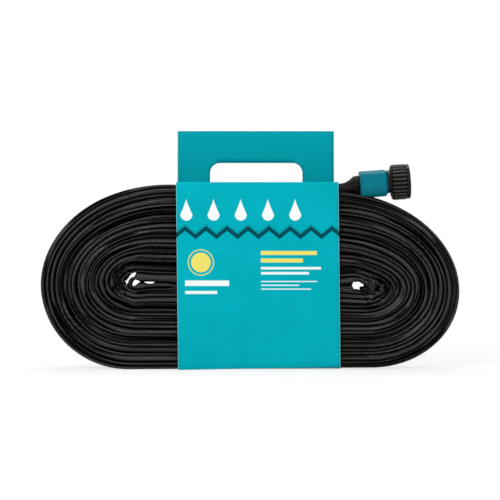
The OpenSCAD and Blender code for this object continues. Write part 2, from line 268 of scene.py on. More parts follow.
hose = {
    "width": 0.0206,          # lying flat
    "fullDiameter": 0.0134,   # when water fills it
    "length": 22.86,
    "neckRadius": 0.00915,
    "neckDepth": 0.012,       # how far the neck goes into a collar
    "groove": -0.0001,        # half the air between two strands, which here press into each other
    "thinnest": 0.0008,
    "thickest": 0.0070,
    "outermost": 0.0026,      # the outermost strands swell outward by no more than this
    "endDepth": 2.0,          # how deep the folded edge is, in half thicknesses
    "deepest": 0.0062,        # strands thicker than this have no deeper edge
    "edgeSides": 9,
    "edgeSpan": 78,           # degrees of an edge's curve, each way
    "flatSides": 1,
    "ringStep": 0.0068,
    "finestStep": 0.0011,
    "ringTurn": 0.15,         # radians from ring to ring in a bend
    "samples": 720,           # places looked at in a turn, to set its rings
}

coil = {
    "frontTurns": 18,
    "backTurns": 12,
    "left": 0.2095,
    "right": 0.2102,
    "backRight": 0.162,
    "top": 0.1868,
    "low": 0.0004,
    "shoulderDrop": 0.0083,
    "bellyRise": 0.0017,
    "leftEndZ": 0.0845,
    "rightEndZ": 0.080,
    "coreLeft": 0.128,
    "coreRight": 0.140,
    "backCoreRight": 0.112,
    "coreZ": 0.0855,
    "coreTilt": 0.0025,       # the core lies this much higher at its left and lower at its right
    "coreHeight": 0.0095,
    "turnGap": 0.001,
    "laneY": 0.0128,
    "outerBends": (-0.076, -0.121, 0.123, 0.080),
    "coreBends": (-0.060, -0.105, 0.112, 0.070),
    "backOuterBends": (-0.076, -0.121, 0.080, 0.060),
    "backCoreBends": (-0.060, -0.105, 0.085, 0.060),
    "leavesX": 0.062,
    "crossLift": 0.0015,
    "crossSpan": 0.6,
    "runRings": 2,            # how many of a turn's parts each of its two runs takes,
    "cornerRings": 5,         # and each of its four corners
    "unevenness": 0.34,       # how unevenly the turns lie, in turns
    "split": 0.32,            # how unevenly two strands share the room between their lines
    "sideWander": 0.0015,     # how far a strand lies deeper or stands prouder than the next
    "calm": (0.6, 0.3),       # turns from the core and from the ends over which that grows from nothing
    "sideShift": 0.0003,
    "edgeWander": 0.0005,     # how far a strand's edge stands in or out
}

fittings = {
    "inletTilt": 4.0,
    "inlet": (0.1104, -0.0137, 0.185832),
    "outlet": (0.17785, 0.0153, 0.078),
    "leadJoint": 0.001,
}

halfRings = coil["runRings"] + 2 * coil["cornerRings"]
turnRings = 2 * halfRings
startTurn = ((coil["outerBends"][3] - coil["leavesX"])
             / (coil["outerBends"][3] - coil["outerBends"][0]) * coil["runRings"] / turnRings)
endAt = (halfRings + coil["runRings"]) / turnRings
crossTurn = coil["frontTurns"] + (halfRings + coil["runRings"] / 2) / turnRings
endTurn = coil["frontTurns"] + coil["backTurns"] + endAt
turnsOut = endTurn - crossTurn
places = [(half + r) / turnRings for half in (0, halfRings)
          for r in (coil["runRings"], coil["runRings"] + coil["cornerRings"], halfRings)]
backPlaces = [endAt - p + 1 if p > endAt else endAt - p for p in places]


def cornerSet(bends, left, right, topLeft, topRight, lowLeft, lowRight, zLeft, zRight):
    # the four corners of a turn, each centre x, centre z, reach along x, reach along z
    return np.array([
        [bends[0], zLeft, left + bends[0], topLeft - zLeft],
        [bends[1], zLeft, left + bends[1], zLeft - lowLeft],
        [bends[2], zRight, right - bends[2], zRight - lowRight],
        [bends[3], zRight, right - bends[3], topRight - zRight]])


def outermostTurn(bends, right, coreEnd, turns, at):
    top = coil["coreZ"] + coil["coreHeight"] / 2
    low = coil["coreZ"] - coil["coreHeight"] / 2
    toTop, toLow = coil["top"] - top, low - coil["low"]

    def reach(distance, turn):
        half = (distance / turns - coil["turnGap"]) / (2 + 1 / turns)
        return (distance - half) / (1 - turn / turns)
    return cornerSet(
        bends, coil["coreLeft"] + reach(coil["left"] - coil["coreLeft"], at[1]),
        coreEnd + reach(right - coreEnd, at[4]), top + reach(toTop, at[0]),
        top + reach(toTop - coil["shoulderDrop"], at[5]), low - reach(toLow, at[2]),
        low - reach(toLow - coil["bellyRise"], at[3]), coil["leftEndZ"], coil["rightEndZ"])


def innermostTurn(bends, coreEnd):
    left, right = coil["coreZ"] + coil["coreTilt"], coil["coreZ"] - coil["coreTilt"]
    half = coil["coreHeight"] / 2
    return cornerSet(bends, coil["coreLeft"], coreEnd, left + half, right + half,
                     left - half, right - half, left, right)


frontOuter = outermostTurn(coil["outerBends"], coil["right"], coil["coreRight"], crossTurn, places)
frontCore = innermostTurn(coil["coreBends"], coil["coreRight"])
backOuter = outermostTurn(coil["backOuterBends"], coil["backRight"], coil["backCoreRight"],
                          turnsOut, backPlaces)
backCore = innermostTurn(coil["backCoreBends"], coil["backCoreRight"])

unevenFront = wander(11, (0.37, 0.61, 1.43, 2.57, 3.61), coil["unevenness"])
unevenBack = wander(23, (0.41, 0.67, 1.37, 2.63, 4.39), coil["unevenness"])
edgeIn = wander(5, (0.57, 1.71, 3.37, 6.83, 11.3), coil["edgeWander"])
crumpleUp = wander(71, (23.3, 37.9, 61.7), 1.0)
crumpleIn = wander(73, (27.1, 43.7, 58.3), 1.0)
lieIn = wander(37, (0.29, 0.73, 1.39, 2.71), coil["sideWander"])
splitAt = wander(61, (0.31, 0.59, 1.47, 2.41, 3.53), coil["split"])
pressAt = wander(31, (0.83, 2.17, 5.3, 9.7), 0.5)
notchTurn = wander(41, (0.47, 1.31, 2.9), 0.55)


def inwardAt(u):
    front = u < crossTurn
    share = np.clip(np.where(front, u / crossTurn, (endTurn - u) / turnsOut), 0, 1)
    calm = np.sqrt(np.sin(np.pi * share))
    return share + calm * np.where(front, unevenFront(u) / crossTurn, unevenBack(u) / turnsOut)


def crossedAt(u):
    return smooth((u - crossTurn) * turnRings / coil["runRings"] / coil["crossSpan"] + 0.5)


def onTurn(corners, t):
    # a turn runs anticlockwise seen from the front: a run and two corners, twice
    rows = np.arange(len(t))
    second = (t >= 0.5).astype(int)
    r = t * turnRings - second * halfRings - coil["runRings"]
    top = 90.0 + 180.0 * second
    onRun, onFirst = r < 0, r < coil["cornerRings"]

    def corner(which, angle):
        c, a = corners[rows, which], np.radians(angle)
        return np.stack([c[:, 0] + c[:, 2] * np.cos(a), c[:, 1] + c[:, 3] * np.sin(a)], 1)
    angle = np.where(onRun, top, top + 90 * r / coil["cornerRings"])
    place = corner(np.where(onFirst, 2 * second, 2 * second + 1), angle)
    back = corner(3 - 2 * second, top)
    share = np.clip(-r / coil["runRings"], 0, 1)[:, None]
    return np.where(onRun[:, None], mix(place, back, share), place)


core = {
    # the left and right tips of the inmost turns, by how many turns they are from the core
    "turnsOut": (0.3, 1.3, 2.3, 3.3, 4.3, 5.3, 7.0, 10.0, 14.0),
    "leftTips": (-0.0076, -0.0048, -0.0030, -0.0030, -0.0019, -0.0010, -0.0004, 0, 0),
    "leftRounding": (-0.052, -0.052, -0.053, -0.053, -0.045, -0.038, -0.030, -0.016, -0.004),
    "rightTurnsOut": (0.77, 1.77, 2.77, 3.77, 4.77, 5.77, 6.77, 9.0, 12.0, 15.0, 18.0),
    "rightTips": (-0.019, -0.0128, -0.0112, -0.0113, -0.0097, -0.0067, -0.0066,
                  -0.005, -0.003, -0.001, 0),
    "backTurnsOut": (0.23, 1.23, 2.23, 3.23, 5.0, 8.0),
    "backRightTips": (0.0085, 0.010, 0.0085, 0.007, 0.004, 0),
    "backLeftTips": (0.004, 0.003, 0.002, 0.001, 0, 0),
    "backRounding": (-0.050, -0.048, -0.046, -0.040, -0.030, -0.016),
    # how far the strands above and below the core lie off its line, along it
    "liftAt": (-0.126, -0.120, -0.1165, -0.112, -0.105, -0.098, -0.090,
               0.090, 0.098, 0.104, 0.111, 0.119, 0.130),
    "liftAbove": (0, -0.0030, -0.0030, -0.0025, -0.0036, -0.0043, -0.0045,
                  -0.0014, 0.0006, 0.0034, 0.0030, -0.0004, -0.0010),
    "liftBelow": (0, -0.0031, -0.0029, -0.0014, 0.0002, 0.0012, 0.0014,
                  0.0078, 0.0070, 0.0058, 0.0060, 0.0040, 0.0010),
    "backLiftAt": (-0.130, -0.122, -0.110, -0.098, -0.085, 0.084, 0.098, 0.112, 0.124),
    "backLift": (0.0010, 0.0044, 0.0040, 0.0004, -0.0020, -0.0020, 0.0036, 0.0044, 0.001),
    "fade": 2.6,
    "sideSpan": 0.002,        # how soon the lift changes from below the core's line to above it
    "lean": 1.33,             # the inmost strands fan out towards a point this far in front
    "leanTurns": 6.0,
    "leanFrom": (0.03, 0.1),  # turns from the core where the lean starts, and over how many
    "closeBy": 0.0062,        # the inmost turn swells by no more than this towards the core's line
    "leastUp": 0.08,          # keeps the way to the core's line finite where a strand runs upright
    "inmost": 1.03,           # turns from the core: the strands that face each other across it,
    "besideTurns": 3.2,       # those that leave the openings free,
    "fineTurns": 2.2,         # and those with fine rings beside the openings
    "fineAround": 0.0013,
    "fineFrom": (0.006, 0.094),    # the middle of the stretch without fine rings, and its reach
    # places on the front lane: along x, reach, turns from the core, reach, how much
    "crumples": ((0.126, 0.014, 1.2, 1.6, 0.0006), (-0.131, 0.008, 2.3, 1.0, 0.0006)),
    "crumpleDepth": 0.7,
    "dent": (-0.134, 0.009, 2.3, 0.5, 0.0032),
    "across": (-0.12, 0.25),       # where the core's line starts along x, and how long it is
}

# the gaps left in the core, seen from the front, as corners in x and z
openings = (
    ((-0.1282, 0.0886), (-0.1274, 0.0926), (-0.1236, 0.0957), (-0.1184, 0.0964), (-0.1146, 0.0952),
     (-0.1168, 0.0924), (-0.1202, 0.0920), (-0.1222, 0.0896), (-0.1236, 0.0862)),
    ((-0.1165, 0.0911), (-0.1107, 0.0884), (-0.1165, 0.0832), (-0.1193, 0.0842), (-0.1186, 0.0868)),
    ((-0.1068, 0.0881), (-0.0962, 0.0880), (-0.0985, 0.0858), (-0.1050, 0.0860)),
    ((0.1030, 0.0880), (0.1066, 0.0876), (0.1101, 0.0906), (0.1118, 0.0868), (0.1170, 0.0840),
     (0.1130, 0.0822), (0.1126, 0.0780), (0.1090, 0.0806), (0.1034, 0.0806), (0.1058, 0.0842)),
)


def shapedCorners(corners, u, back):
    # the inmost turns have rounder ends and tips of their own
    away = np.abs(u - crossTurn)

    def tip(turns, front, rear):
        return mix(np.interp(away, core[turns], core[front]),
                   np.interp(away, core["backTurnsOut"], core[rear]), back)
    leftTip = tip("turnsOut", "leftTips", "backLeftTips")
    rounding = tip("turnsOut", "leftRounding", "backRounding")
    rightTip = tip("rightTurnsOut", "rightTips", "backRightTips")
    shaped = corners.copy()
    shaped[:, 0, 0] += rounding
    shaped[:, 0, 2] += rounding + leftTip
    shaped[:, 1, 2] += leftTip
    shaped[:, 2, 2] += rightTip
    shaped[:, 3, 2] += rightTip
    return shaped


def coreMiddle(x):
    start, length = core["across"]
    return mix(coil["coreZ"] + coil["coreTilt"], coil["coreZ"] - coil["coreTilt"],
               np.clip((x - start) / length, 0, 1))


def spot(x, away, place, reach, turns, span, size):
    return size * nearTo(x, place, reach) * nearTo(away, turns, span)


def strandAt(u):
    u = np.clip(np.asarray(u, float), startTurn, endTurn)
    c = crossedAt(u)
    s, wide = inwardAt(u)[:, None, None], c[:, None, None]
    corners = mix(mix(frontOuter, backOuter, wide), mix(frontCore, backCore, wide), s)
    flat = onTurn(shapedCorners(corners, u, c), u - np.floor(u))
    x, z = flat[:, 0], flat[:, 1] + 4 * coil["crossLift"] * c * (1 - c)
    away = np.abs(u - crossTurn)
    side = np.tanh((z - coreMiddle(x)) / core["sideSpan"])
    lift = mix(eased(x, core["liftAt"], core["liftBelow"]),
               eased(x, core["liftAt"], core["liftAbove"]), 0.5 + 0.5 * side)
    spread = side * eased(x, core["backLiftAt"], core["backLift"])
    z = z + mix(lift, spread, c) * np.exp(-away / core["fade"])
    nearCore, nearEnds = coil["calm"]
    calm = (np.clip(away / nearCore, 0, 1) * np.clip((u - startTurn) / nearEnds, 0, 1)
            * np.clip((endTurn - u) / nearEnds, 0, 1))
    rough = sum(spot(x, away, *crumple) for crumple in core["crumples"]) * (1 - c)
    z = z + rough * crumpleUp(u)
    y = mix(-coil["laneY"] + coil["sideShift"], coil["laneY"] - coil["sideShift"], c)
    y = y + calm * lieIn(u) + core["crumpleDepth"] * rough * crumpleIn(u)
    y = y + (1 - c) * spot(x, away, *core["dent"])
    return np.stack([x, y, z], 1)


def headingAt(u, step=0.002):
    return unitRows(strandAt(u + step) - strandAt(u - step))


def evenSteps(u, points, most):
    # picks values of u that put rings close together in bends and far apart on runs
    gaps = stepsOf(points)
    along = summed(gaps)
    heading = unitRows(np.gradient(points, along, axis=0))
    bend = np.linalg.norm(np.gradient(heading, along, axis=0), axis=1)
    step = np.clip(hose["ringTurn"] / np.maximum(bend, 1e-6), hose["finestStep"], most)
    count = summed(gaps * 2 / (step[1:] + step[:-1]))
    wanted = np.linspace(0, count[-1], int(math.ceil(count[-1])) + 1)
    return np.interp(wanted, count, u)


def inletFrame():
    tilt = math.radians(fittings["inletTilt"])
    return np.array(fittings["inlet"]), np.array([math.cos(tilt), 0, math.sin(tilt)])


# a folded edge is pressed in along a line here and there, which makes it a double ridge
pressed = {
    "from": (-0.20, 0.35),    # the wander at which a dent starts, and how soon it is full
    "deep": 0.95,
    "width": 19,              # degrees of the edge's curve
    "thin": (0.0026, 0.0016),      # thinner strands aren't pressed
    "thick": (0.0048, 0.45),       # strands thicker than this are pressed less, down to this share
    "ends": 0.05,             # turns at the coil's ends over which its edges become even
}

# painted light: how open a place is to the light, from 0 deep between two strands to 1 on a ridge; the
# jacket is painted darker where it is low, as painted shade
openLight = {
    "dent": 0.35,             # in the full depth of a dent
    "deeper": 0.24,           # what the deepest strands lose
    "prouder": 0.2,           # and the share of it that the proudest ones gain
    "bareEdge": 0.5,          # the least on an edge's lower half, where nothing covers the strand
    "lowerTo": 0.1,           # radians of an edge's curve at which its lower half ends
    "bareSide": 0.55,
    "bareTurns": 1.01,
    "lead": 0.60,
}


def edgeTurns():
    return np.radians(np.linspace(-hose["edgeSpan"], hose["edgeSpan"], hose["edgeSides"]))


def notched(notch, notchAt):
    off = (edgeTurns()[None, :] - notchAt[:, None]) / math.radians(pressed["width"])
    return 1 - notch[:, None] * np.exp(-off ** 2)


def sectionPoints(low, high, half, notch, notchAt):
    # from the front edge round the lower side, the back edge and the upper side;
    # low and high are the half thicknesses below and above, half the half width
    turn = edgeTurns()
    depth = hose["endDepth"] * np.minimum(low + high, hose["deepest"]) / 2
    side = np.where(turn[None, :] < 0, low[:, None], high[:, None])
    frontX = -(half[:, None] - depth[:, None] * (1 - np.cos(turn)[None, :] * notched(notch, notchAt)))
    frontZ = side * np.sin(turn)[None, :]
    inner = (half - depth)[:, None] * np.linspace(-1, 1, hose["flatSides"] + 2)[None, 1:-1]
    one = np.ones_like(inner)
    x = np.concatenate([frontX, inner, -frontX[:, ::-1], -inner], 1)
    z = np.concatenate([frontZ, high[:, None] * one, frontZ[:, ::-1], -low[:, None] * one], 1)
    return x, z


def paintedLight(notch, notchAt, frontLit, backLit, bare):
    # painted light, in the order of the section's points: painted shade falls off from each edge's crest
    # and fills its dents; bare is an uncovered lower side
    turn = edgeTurns()
    ridge = np.cos(turn)[None, :] * mix(openLight["dent"], 1, notched(notch, notchAt))
    ridge = np.where((turn[None, :] < openLight["lowerTo"]) & (bare[:, None] > 0.5),
                     np.maximum(ridge, openLight["bareEdge"]), ridge)
    flat = np.ones((len(notch), hose["flatSides"]))
    return np.concatenate([ridge * frontLit[:, None], 0 * flat, ridge[:, ::-1] * backLit[:, None],
                           bare[:, None] * flat * openLight["bareSide"]], 1)


def roundPoints(radius):
    # the same points on a circle, for the necks
    sides = 2 * (hose["edgeSides"] + hose["flatSides"])
    a = 2 * np.pi * (np.arange(sides) - (hose["edgeSides"] - 1) / 2) / sides
    return -radius[:, None] * np.cos(a)[None, :], radius[:, None] * np.sin(a)[None, :]


def reachToOpening(centre, heading):
    # how far it is from each ring's middle to the first opening, along a heading
    start, way = centre[:, [0, 2]], heading[:, [0, 2]]
    reach = np.full(len(start), 1.0)
    for corners in openings:
        corners = np.array(corners)
        for a, b in zip(corners, np.roll(corners, -1, axis=0)):
            side, toStart = b - a, a - start
            turn = way[:, 0] * side[1] - way[:, 1] * side[0]
            turn = np.where(np.abs(turn) < 1e-9, 1e-9, turn)
            t = (toStart[:, 0] * side[1] - toStart[:, 1] * side[0]) / turn
            share = (toStart[:, 0] * way[:, 1] - toStart[:, 1] * way[:, 0]) / turn
            hit = (t > 0) & (share >= 0) & (share <= 1)
            reach = np.where(hit, np.minimum(reach, t), reach)
    return reach


def closingLine(u, centre):
    # halfway between the inmost run above the core and the one below it
    inmost = (u < crossTurn) & (crossTurn - u < core["inmost"])
    falls = np.gradient(centre[:, 0]) < 0
    lines = []
    for which in (inmost & falls, inmost & ~falls):
        order = np.argsort(centre[which, 0])
        lines.append((centre[which, 0][order], centre[which, 2][order]))
    return lambda x: (np.interp(x, *lines[0]) + np.interp(x, *lines[1])) / 2


def coilRings():
    # the rings' middles, their directions, and how far the hose swells out and in from each
    u = np.linspace(startTurn, endTurn, int((endTurn - startTurn) * hose["samples"]))
    points = strandAt(u)
    middleAt = closingLine(u, points)
    plainX, plainReach = core["fineFrom"]
    beside = (u < crossTurn) & (crossTurn - u < core["fineTurns"])
    beside &= np.abs(points[:, 0] - plainX) > plainReach
    u = evenSteps(u, points, np.where(beside, core["fineAround"], hose["ringStep"]))
    centre, along = strandAt(u), headingAt(u)
    front, away = u < crossTurn, np.abs(u - crossTurn)
    nearest, over = core["leanFrom"]
    lean = nearTo(away, 0, core["leanTurns"]) * smooth((away - nearest) / over) / core["lean"]
    across = np.stack([lean * centre[:, 0], np.ones_like(u), lean * (centre[:, 2] - camera.location.z)], 1)
    across = unitRows(across - (across * along).sum(1)[:, None] * along)
    up = np.cross(along, across)
    outer, inner = np.where(front, u - 1, u + 1), np.where(front, u + 1, u - 1)
    hasOuter = (outer >= startTurn) & (outer <= endTurn)
    hasInner = np.where(front, inner < crossTurn - nearest, inner > crossTurn + nearest)
    toOuter = np.abs(((strandAt(outer) - centre) * up).sum(1)) * (0.5 - splitAt(outer))
    toInner = np.abs(((strandAt(inner) - centre) * up).sum(1)) * (0.5 + splitAt(u))
    middle = np.where(front, middleAt(centre[:, 0]), coreMiddle(centre[:, 0]))
    toMiddle = np.abs(centre[:, 2] - middle) / np.maximum(np.abs(up[:, 2]), core["leastUp"])
    usual = np.where(hasOuter, toOuter, toInner)
    toInner = np.where(hasInner, toInner,
                       np.minimum(np.where(front, core["closeBy"], usual), toMiddle))
    toOuter = np.where(hasOuter, toOuter, np.minimum(toInner, hose["outermost"]))
    beside = front & (away < core["besideTurns"])
    toInner = np.where(beside, np.minimum(toInner, reachToOpening(centre, up)), toInner)
    toOuter = np.where(beside, np.minimum(toOuter, reachToOpening(centre, -up)), toOuter)
    toOuter = np.clip(toOuter - hose["groove"], hose["thinnest"], hose["thickest"])
    toInner = np.clip(toInner - hose["groove"], hose["thinnest"], hose["thickest"])
    return u, centre, across, up, toOuter, toInner


lead = {
    "inletRings": 46,
    "neckRings": 4,
    "outletRings": 60,
    "inletAt": (0.062, 0.078, 0.089, 0.097, 0.102, 0.1065, 0.111),
    "inletRound": (0.0, 0.22, 0.42, 0.53, 0.76, 0.97, 1.0),
    "inletHeightsAt": (0.075, 0.088, 0.097, 0.102, 0.1065),
    "inletHeights": (0.1804, 0.1820, 0.1825, 0.1838, 0.1852),
    "bendEase": 0.003,
    "past": 0.02,             # how far on from the joint the line of heights goes
    "inletStep": 0.02,        # a ring faces along the lead between these shares before and after it
    "outletStep": 0.01,
    "held": (0.08, 0.04),     # the lead runs straight over these shares of it, at the coil and the neck
    # the neck is fullest just before the collar, and creased behind that: place along x, reach, how much
    "swell": (0.1068, 0.003, 0.0007),
    "crease": (0.1030, 0.0012, 0.05),
    "outletPower": 3.0,
    "folds": 0.16,
    "outletFolds": 0.6,       # of the inlet's
    "foldsAt": 0.62,
    "foldsSpan": 0.22,
    "foldCount": 7,
    "foldTurn": 1.3,
}


def inletLead():
    # from inside the collar out along the neck, which narrows to the flat hose under the card
    place, axis = inletFrame()
    joint = place + fittings["leadJoint"] * axis
    start = strandAt([startTurn])[0]
    past = joint + lead["past"] * axis
    heights = (start[2], start[2], *lead["inletHeights"], joint[2], past[2])
    heightsAt = (0, start[0], *lead["inletHeightsAt"], joint[0], past[0])

    def route(f):
        z = eased(mix(start[0], joint[0], f), heightsAt, heights, lead["bendEase"])
        held = nearTo(f, 0, lead["held"][0]) + nearTo(f, 1, lead["held"][1])
        z = mix(z, mix(start[2], joint[2], f), held)
        return np.stack([mix(start[0], joint[0], f), mix(start[1], joint[1], smooth(f)), z], 1)
    f, step = np.linspace(1, 0, lead["inletRings"])[:-1], lead["inletStep"]
    along = unitRows(route(np.clip(f - step, 0, 1)) - route(np.clip(f + step, 0, 1)))
    along[0] = -axis
    inside = joint[None, :] + np.linspace(hose["neckDepth"], 0, lead["neckRings"])[:-1, None] * axis
    points = np.concatenate([inside, route(f)])
    along = np.concatenate([np.repeat(-axis[None, :], len(inside), 0), along])
    return points, along, np.interp(points[:, 0], lead["inletAt"], lead["inletRound"])


def outletLead():
    # a quarter of an ellipse behind the coil, up to the outlet's collar
    end = strandAt([endTurn])[0]
    place = np.array(fittings["outlet"])
    upward = np.array([0, 0, 1.0])

    def route(f):
        a = np.pi / 2 * f
        return np.stack([mix(end[0], place[0], np.sin(a)), mix(end[1], place[1], smooth(f)),
                         mix(place[2] + fittings["leadJoint"], end[2], np.cos(a))], 1)
    f, step = np.linspace(0, 1, lead["outletRings"])[1:], lead["outletStep"]
    along = unitRows(route(np.clip(f + step, 0, 1)) - route(np.clip(f - step, 0, 1)))
    along[-1] = upward
    rise = np.linspace(0, hose["neckDepth"], lead["neckRings"])[1:, None]
    points = np.concatenate([route(f), route(np.array([1.0])) + rise * upward])
    along = np.concatenate([along, np.repeat(upward[None, :], len(rise), 0)])
    return points, along, np.concatenate([f ** lead["outletPower"], np.ones(len(rise))])


def leadSection(share, high, low, folds, swell=0.0):
    # the flat hose opening out to the round neck, gathered in folds where it does
    whole = np.ones_like(share)
    flatX, flatZ = sectionPoints(low * whole, high * whole, hose["width"] / 2 * whole,
                                 0 * share, 0 * share)
    roundX, roundZ = roundPoints(hose["neckRadius"] * whole + swell)
    g = share[:, None]
    x, z = mix(flatX, roundX, g), mix(flatZ, roundZ, g)
    gather = nearTo(share, lead["foldsAt"], lead["foldsSpan"])[:, None]
    fold = 0.5 + 0.5 * np.cos(lead["foldCount"] * np.arctan2(z, x) + lead["foldTurn"])
    pull = 1 - folds * gather * fold
    return x * pull, z * pull


def pressedDents(u, thick):
    start, soon = pressed["from"]
    thinnest, span = pressed["thin"]
    thickest, least = pressed["thick"]
    dent = pressed["deep"] * smooth((pressAt(u) - start) / soon) * smooth((thick - thinnest) / span)
    return dent * np.clip(thickest / thick, least, 1)


def buildHose(material):
    u, centre, across, up, toOuter, toInner = coilRings()
    notch, notchAt = pressedDents(u, toOuter + toInner), notchTurn(u)
    fade = smooth((u - startTurn) / pressed["ends"]) * smooth((endTurn - u) / pressed["ends"])
    half = hose["width"] / 2 + fade * (edgeIn(u) - coil["edgeWander"])
    x, z = sectionPoints(toOuter, toInner, half, notch * fade, notchAt)
    # painted shade on strands that lie deeper than their neighbours, and a painted highlight on prouder
    # ones
    deeper = (lieIn(u) - (lieIn(u - 1) + lieIn(u + 1)) / 2) / (2 * coil["sideWander"])
    covered = openLight["bareTurns"]
    bare = ((u < startTurn + covered) | (u > endTurn - covered)).astype(float)
    loss, gain = openLight["deeper"], openLight["prouder"]
    lit = paintedLight(notch * fade, notchAt, 1 - loss * np.clip(deeper, -gain, 1),
                   1 + loss * np.clip(deeper, -1, gain), bare)

    inPoints, inAlong, inShare = inletLead()
    outPoints, outAlong, outShare = outletLead()
    place, reach, more = lead["swell"]
    inX, inZ = leadSection(inShare, toOuter[0], toInner[0], lead["folds"],
                           more * nearTo(inPoints[:, 0], place, reach))
    place, reach, less = lead["crease"]
    crease = (1 - less * nearTo(inPoints[:, 0], place, reach))[:, None]
    outX, outZ = leadSection(outShare, toInner[-1], toOuter[-1], lead["folds"] * lead["outletFolds"])

    # the inlet lead runs towards the coil's start, so its upper side is the strand's outer side
    inAcross, outAcross = (unitRows(np.array([[0, 1, 0]]) - way[:, 1:2] * way)
                           for way in (inAlong, outAlong))
    path = np.concatenate([inPoints, centre, outPoints])
    across = np.concatenate([inAcross, across, outAcross])
    up = np.concatenate([np.cross(inAlong, inAcross), up, np.cross(outAlong, outAcross)])
    section = np.stack([np.concatenate([inX * crease, x, outX]),
                        np.concatenate([inZ * crease, z, outZ])], 2)
    points = (path[:, None, :] + section[:, :, :1] * across[:, None, :]
              + section[:, :, 1:] * up[:, None, :])
    rings, sides = len(path), section.shape[1]
    faces = gridFaces(rings, sides, roundColumns=True).reshape(-1, 4).tolist()
    first = list(range(sides))
    faces += [first, [(rings - 1) * sides + m for m in reversed(first)]]

    along = summed(stepsOf(path))
    girth = np.linalg.norm(np.roll(section, -1, axis=1) - section, axis=2)
    around = np.concatenate([np.zeros((rings, 1)), np.cumsum(girth, 1)], 1)
    uv = np.empty((rings - 1, sides, 4, 2))
    uv[..., 0] = np.stack([along[:-1], along[1:], along[1:], along[:-1]], 1)[:, None]
    uv[..., 1] = np.stack([around[:-1, :-1], around[1:, :-1], around[1:, 1:], around[:-1, 1:]], 2)
    uv = np.concatenate([uv.reshape(-1, 2), [(along[0], 0.0)] * sides, [(along[-1], 0.0)] * sides])
    piece = meshObject("hose", points, faces, [material], uv)
    # the leads get one even share of painted light
    onLeads = [np.full(part.shape, openLight["lead"]) for part in (inX, outX)]
    values = np.concatenate([onLeads[0], lit, onLeads[1]]).ravel().astype(np.float32)
    piece.data.attributes.new("paintedLight", "FLOAT", "POINT").data.foreach_set("value", values)
    return piece, path, along[-1]


jacket = {
    # deep is the painted shade between strands; ridge is the jacket's colour where no shade is painted
    "deep": ink(1, 1, 1),
    "ridge": ink(23, 21, 19),
    "gloss": (0.0, 0.60),
    "open": (0.50, 0.93),     # openness at which the jacket starts to catch light, and catches it all
    "creases": (0.40, 0.60),
    "roughness": (0.36, 0.54),
    "tint": (1.0, 0.95, 0.90, 1.0),
    # noises: how often along and round the hose, detail, roughness
    "rumple": ((45.0, 260.0, 1.0), 4.0, 0.55),
    "crinkle": ((310.0, 170.0, 1.0), 3.0, 0.6),
    "shade": ((9.0, 70.0, 1.0), 3.0, 0.6),
    "crease": ((6.0, 760.0, 1.0), 2.0, 0.6),
    # waves: direction, how often, distortion, detail
    "ribs": ("X", 105.0, 1.2, 1.0),
    "lines": ("Y", 230.0, 0.8, 2.0),
    "patches": (11.0, 2.0, 0.5),
    "crinkled": ((-0.179, 0.052, 0.026), (0.169, 0.124, 0.024)),    # x, z, reach
}


def jacketFinish():
    # a knitted jacket: ribs across the hose, fine lines along it, soft rumples and crinkled places; its
    # colour and gloss carry painted light, with painted shade between strands, in creases and in crinkled
    # places
    m = newMaterial("wovenJacket")
    uv, place = m.place("UV"), m.place("Object")

    def noise(name):
        scale, detail, roughness = jacket[name]
        return m.noise(m.scaled(uv, scale), 1.0, detail, roughness)

    def wave(name):
        direction, often, distortion, detail = jacket[name]
        return m.node("ShaderNodeTexWave", {"Vector": uv, "Scale": often, "Distortion": distortion,
                                            "Detail": detail}, wave_type="BANDS",
                      bands_direction=direction).outputs["Fac"]
    rumple, crinkle = noise("rumple"), noise("crinkle")
    flat = m.scaled(place, (1.0, 0.0, 1.0))
    patches = m.span(m.noise(place, *jacket["patches"]), 0.54, 0.68, 0.0, 0.6)
    for x, z, reach in jacket["crinkled"]:
        patches = m.most(patches, m.span(m.vector("DISTANCE", flat, (x, 0, z)), reach, 0.4 * reach))
    creases = m.span(noise("crease"), *jacket["creases"])
    openTo = m.node("ShaderNodeAttribute", attribute_name="paintedLight").outputs["Fac"]
    # painted light from the strands' attribute, with random tone along them
    light = m.times(m.span(openTo, *jacket["open"]), m.span(noise("shade"), 0.25, 0.75, 0.75, 1.1))
    # creases painted as lighter and darker streaks: painted highlight and painted shade
    light = m.times(light, m.span(creases, 0.0, 1.0, 0.50, 1.25))
    # crinkled places painted darker: painted shade
    wrinkled = m.times(patches, m.span(crinkle, 0.56, 0.42))
    light = m.times(light, m.span(wrinkled, 0.0, 1.0, 1.0, 0.35))
    base = m.bump(creases, 0.0005, 0.7, m.bump(rumple, 0.0016, 0.55))
    knit = m.bump(m.plus(wave("ribs"), m.times(wave("lines"), 0.6)), 0.00022, 0.5, base)
    # the gloss follows the painted light too, so the painted shade holds no reflection
    return m.finish(m.blendColours(light, jacket["deep"], jacket["ridge"]),
                    m.span(rumple, 0.2, 0.8, *jacket["roughness"]),
                    m.bump(m.times(crinkle, patches), 0.0026, 0.9, knit),
                    m.span(light, 0, 1, *jacket["gloss"]), jacket["tint"])


print("coil set out:", round(float(crossTurn), 2), "turns in,", round(float(turnsOut), 2), "out")
hosePiece, hosePath, hoseLength = buildHose(jacketFinish())
print("hose made:", len(hosePiece.data.polygons), "faces,", round(float(hoseLength), 3), "m")


# ---- fittings: turned shapes, each made on the Z axis and then set on its own line ----

def fittingMatrix(which):
    turn = math.radians(90 - fittings["inletTilt"]) if which == "inlet" else 0
    return Matrix.Translation(Vector(fittings[which])) @ Matrix.Rotation(turn, 4, "Y")


def settle(piece, which):
    piece.data.transform(fittingMatrix(which))
    piece.data.update()
    return piece


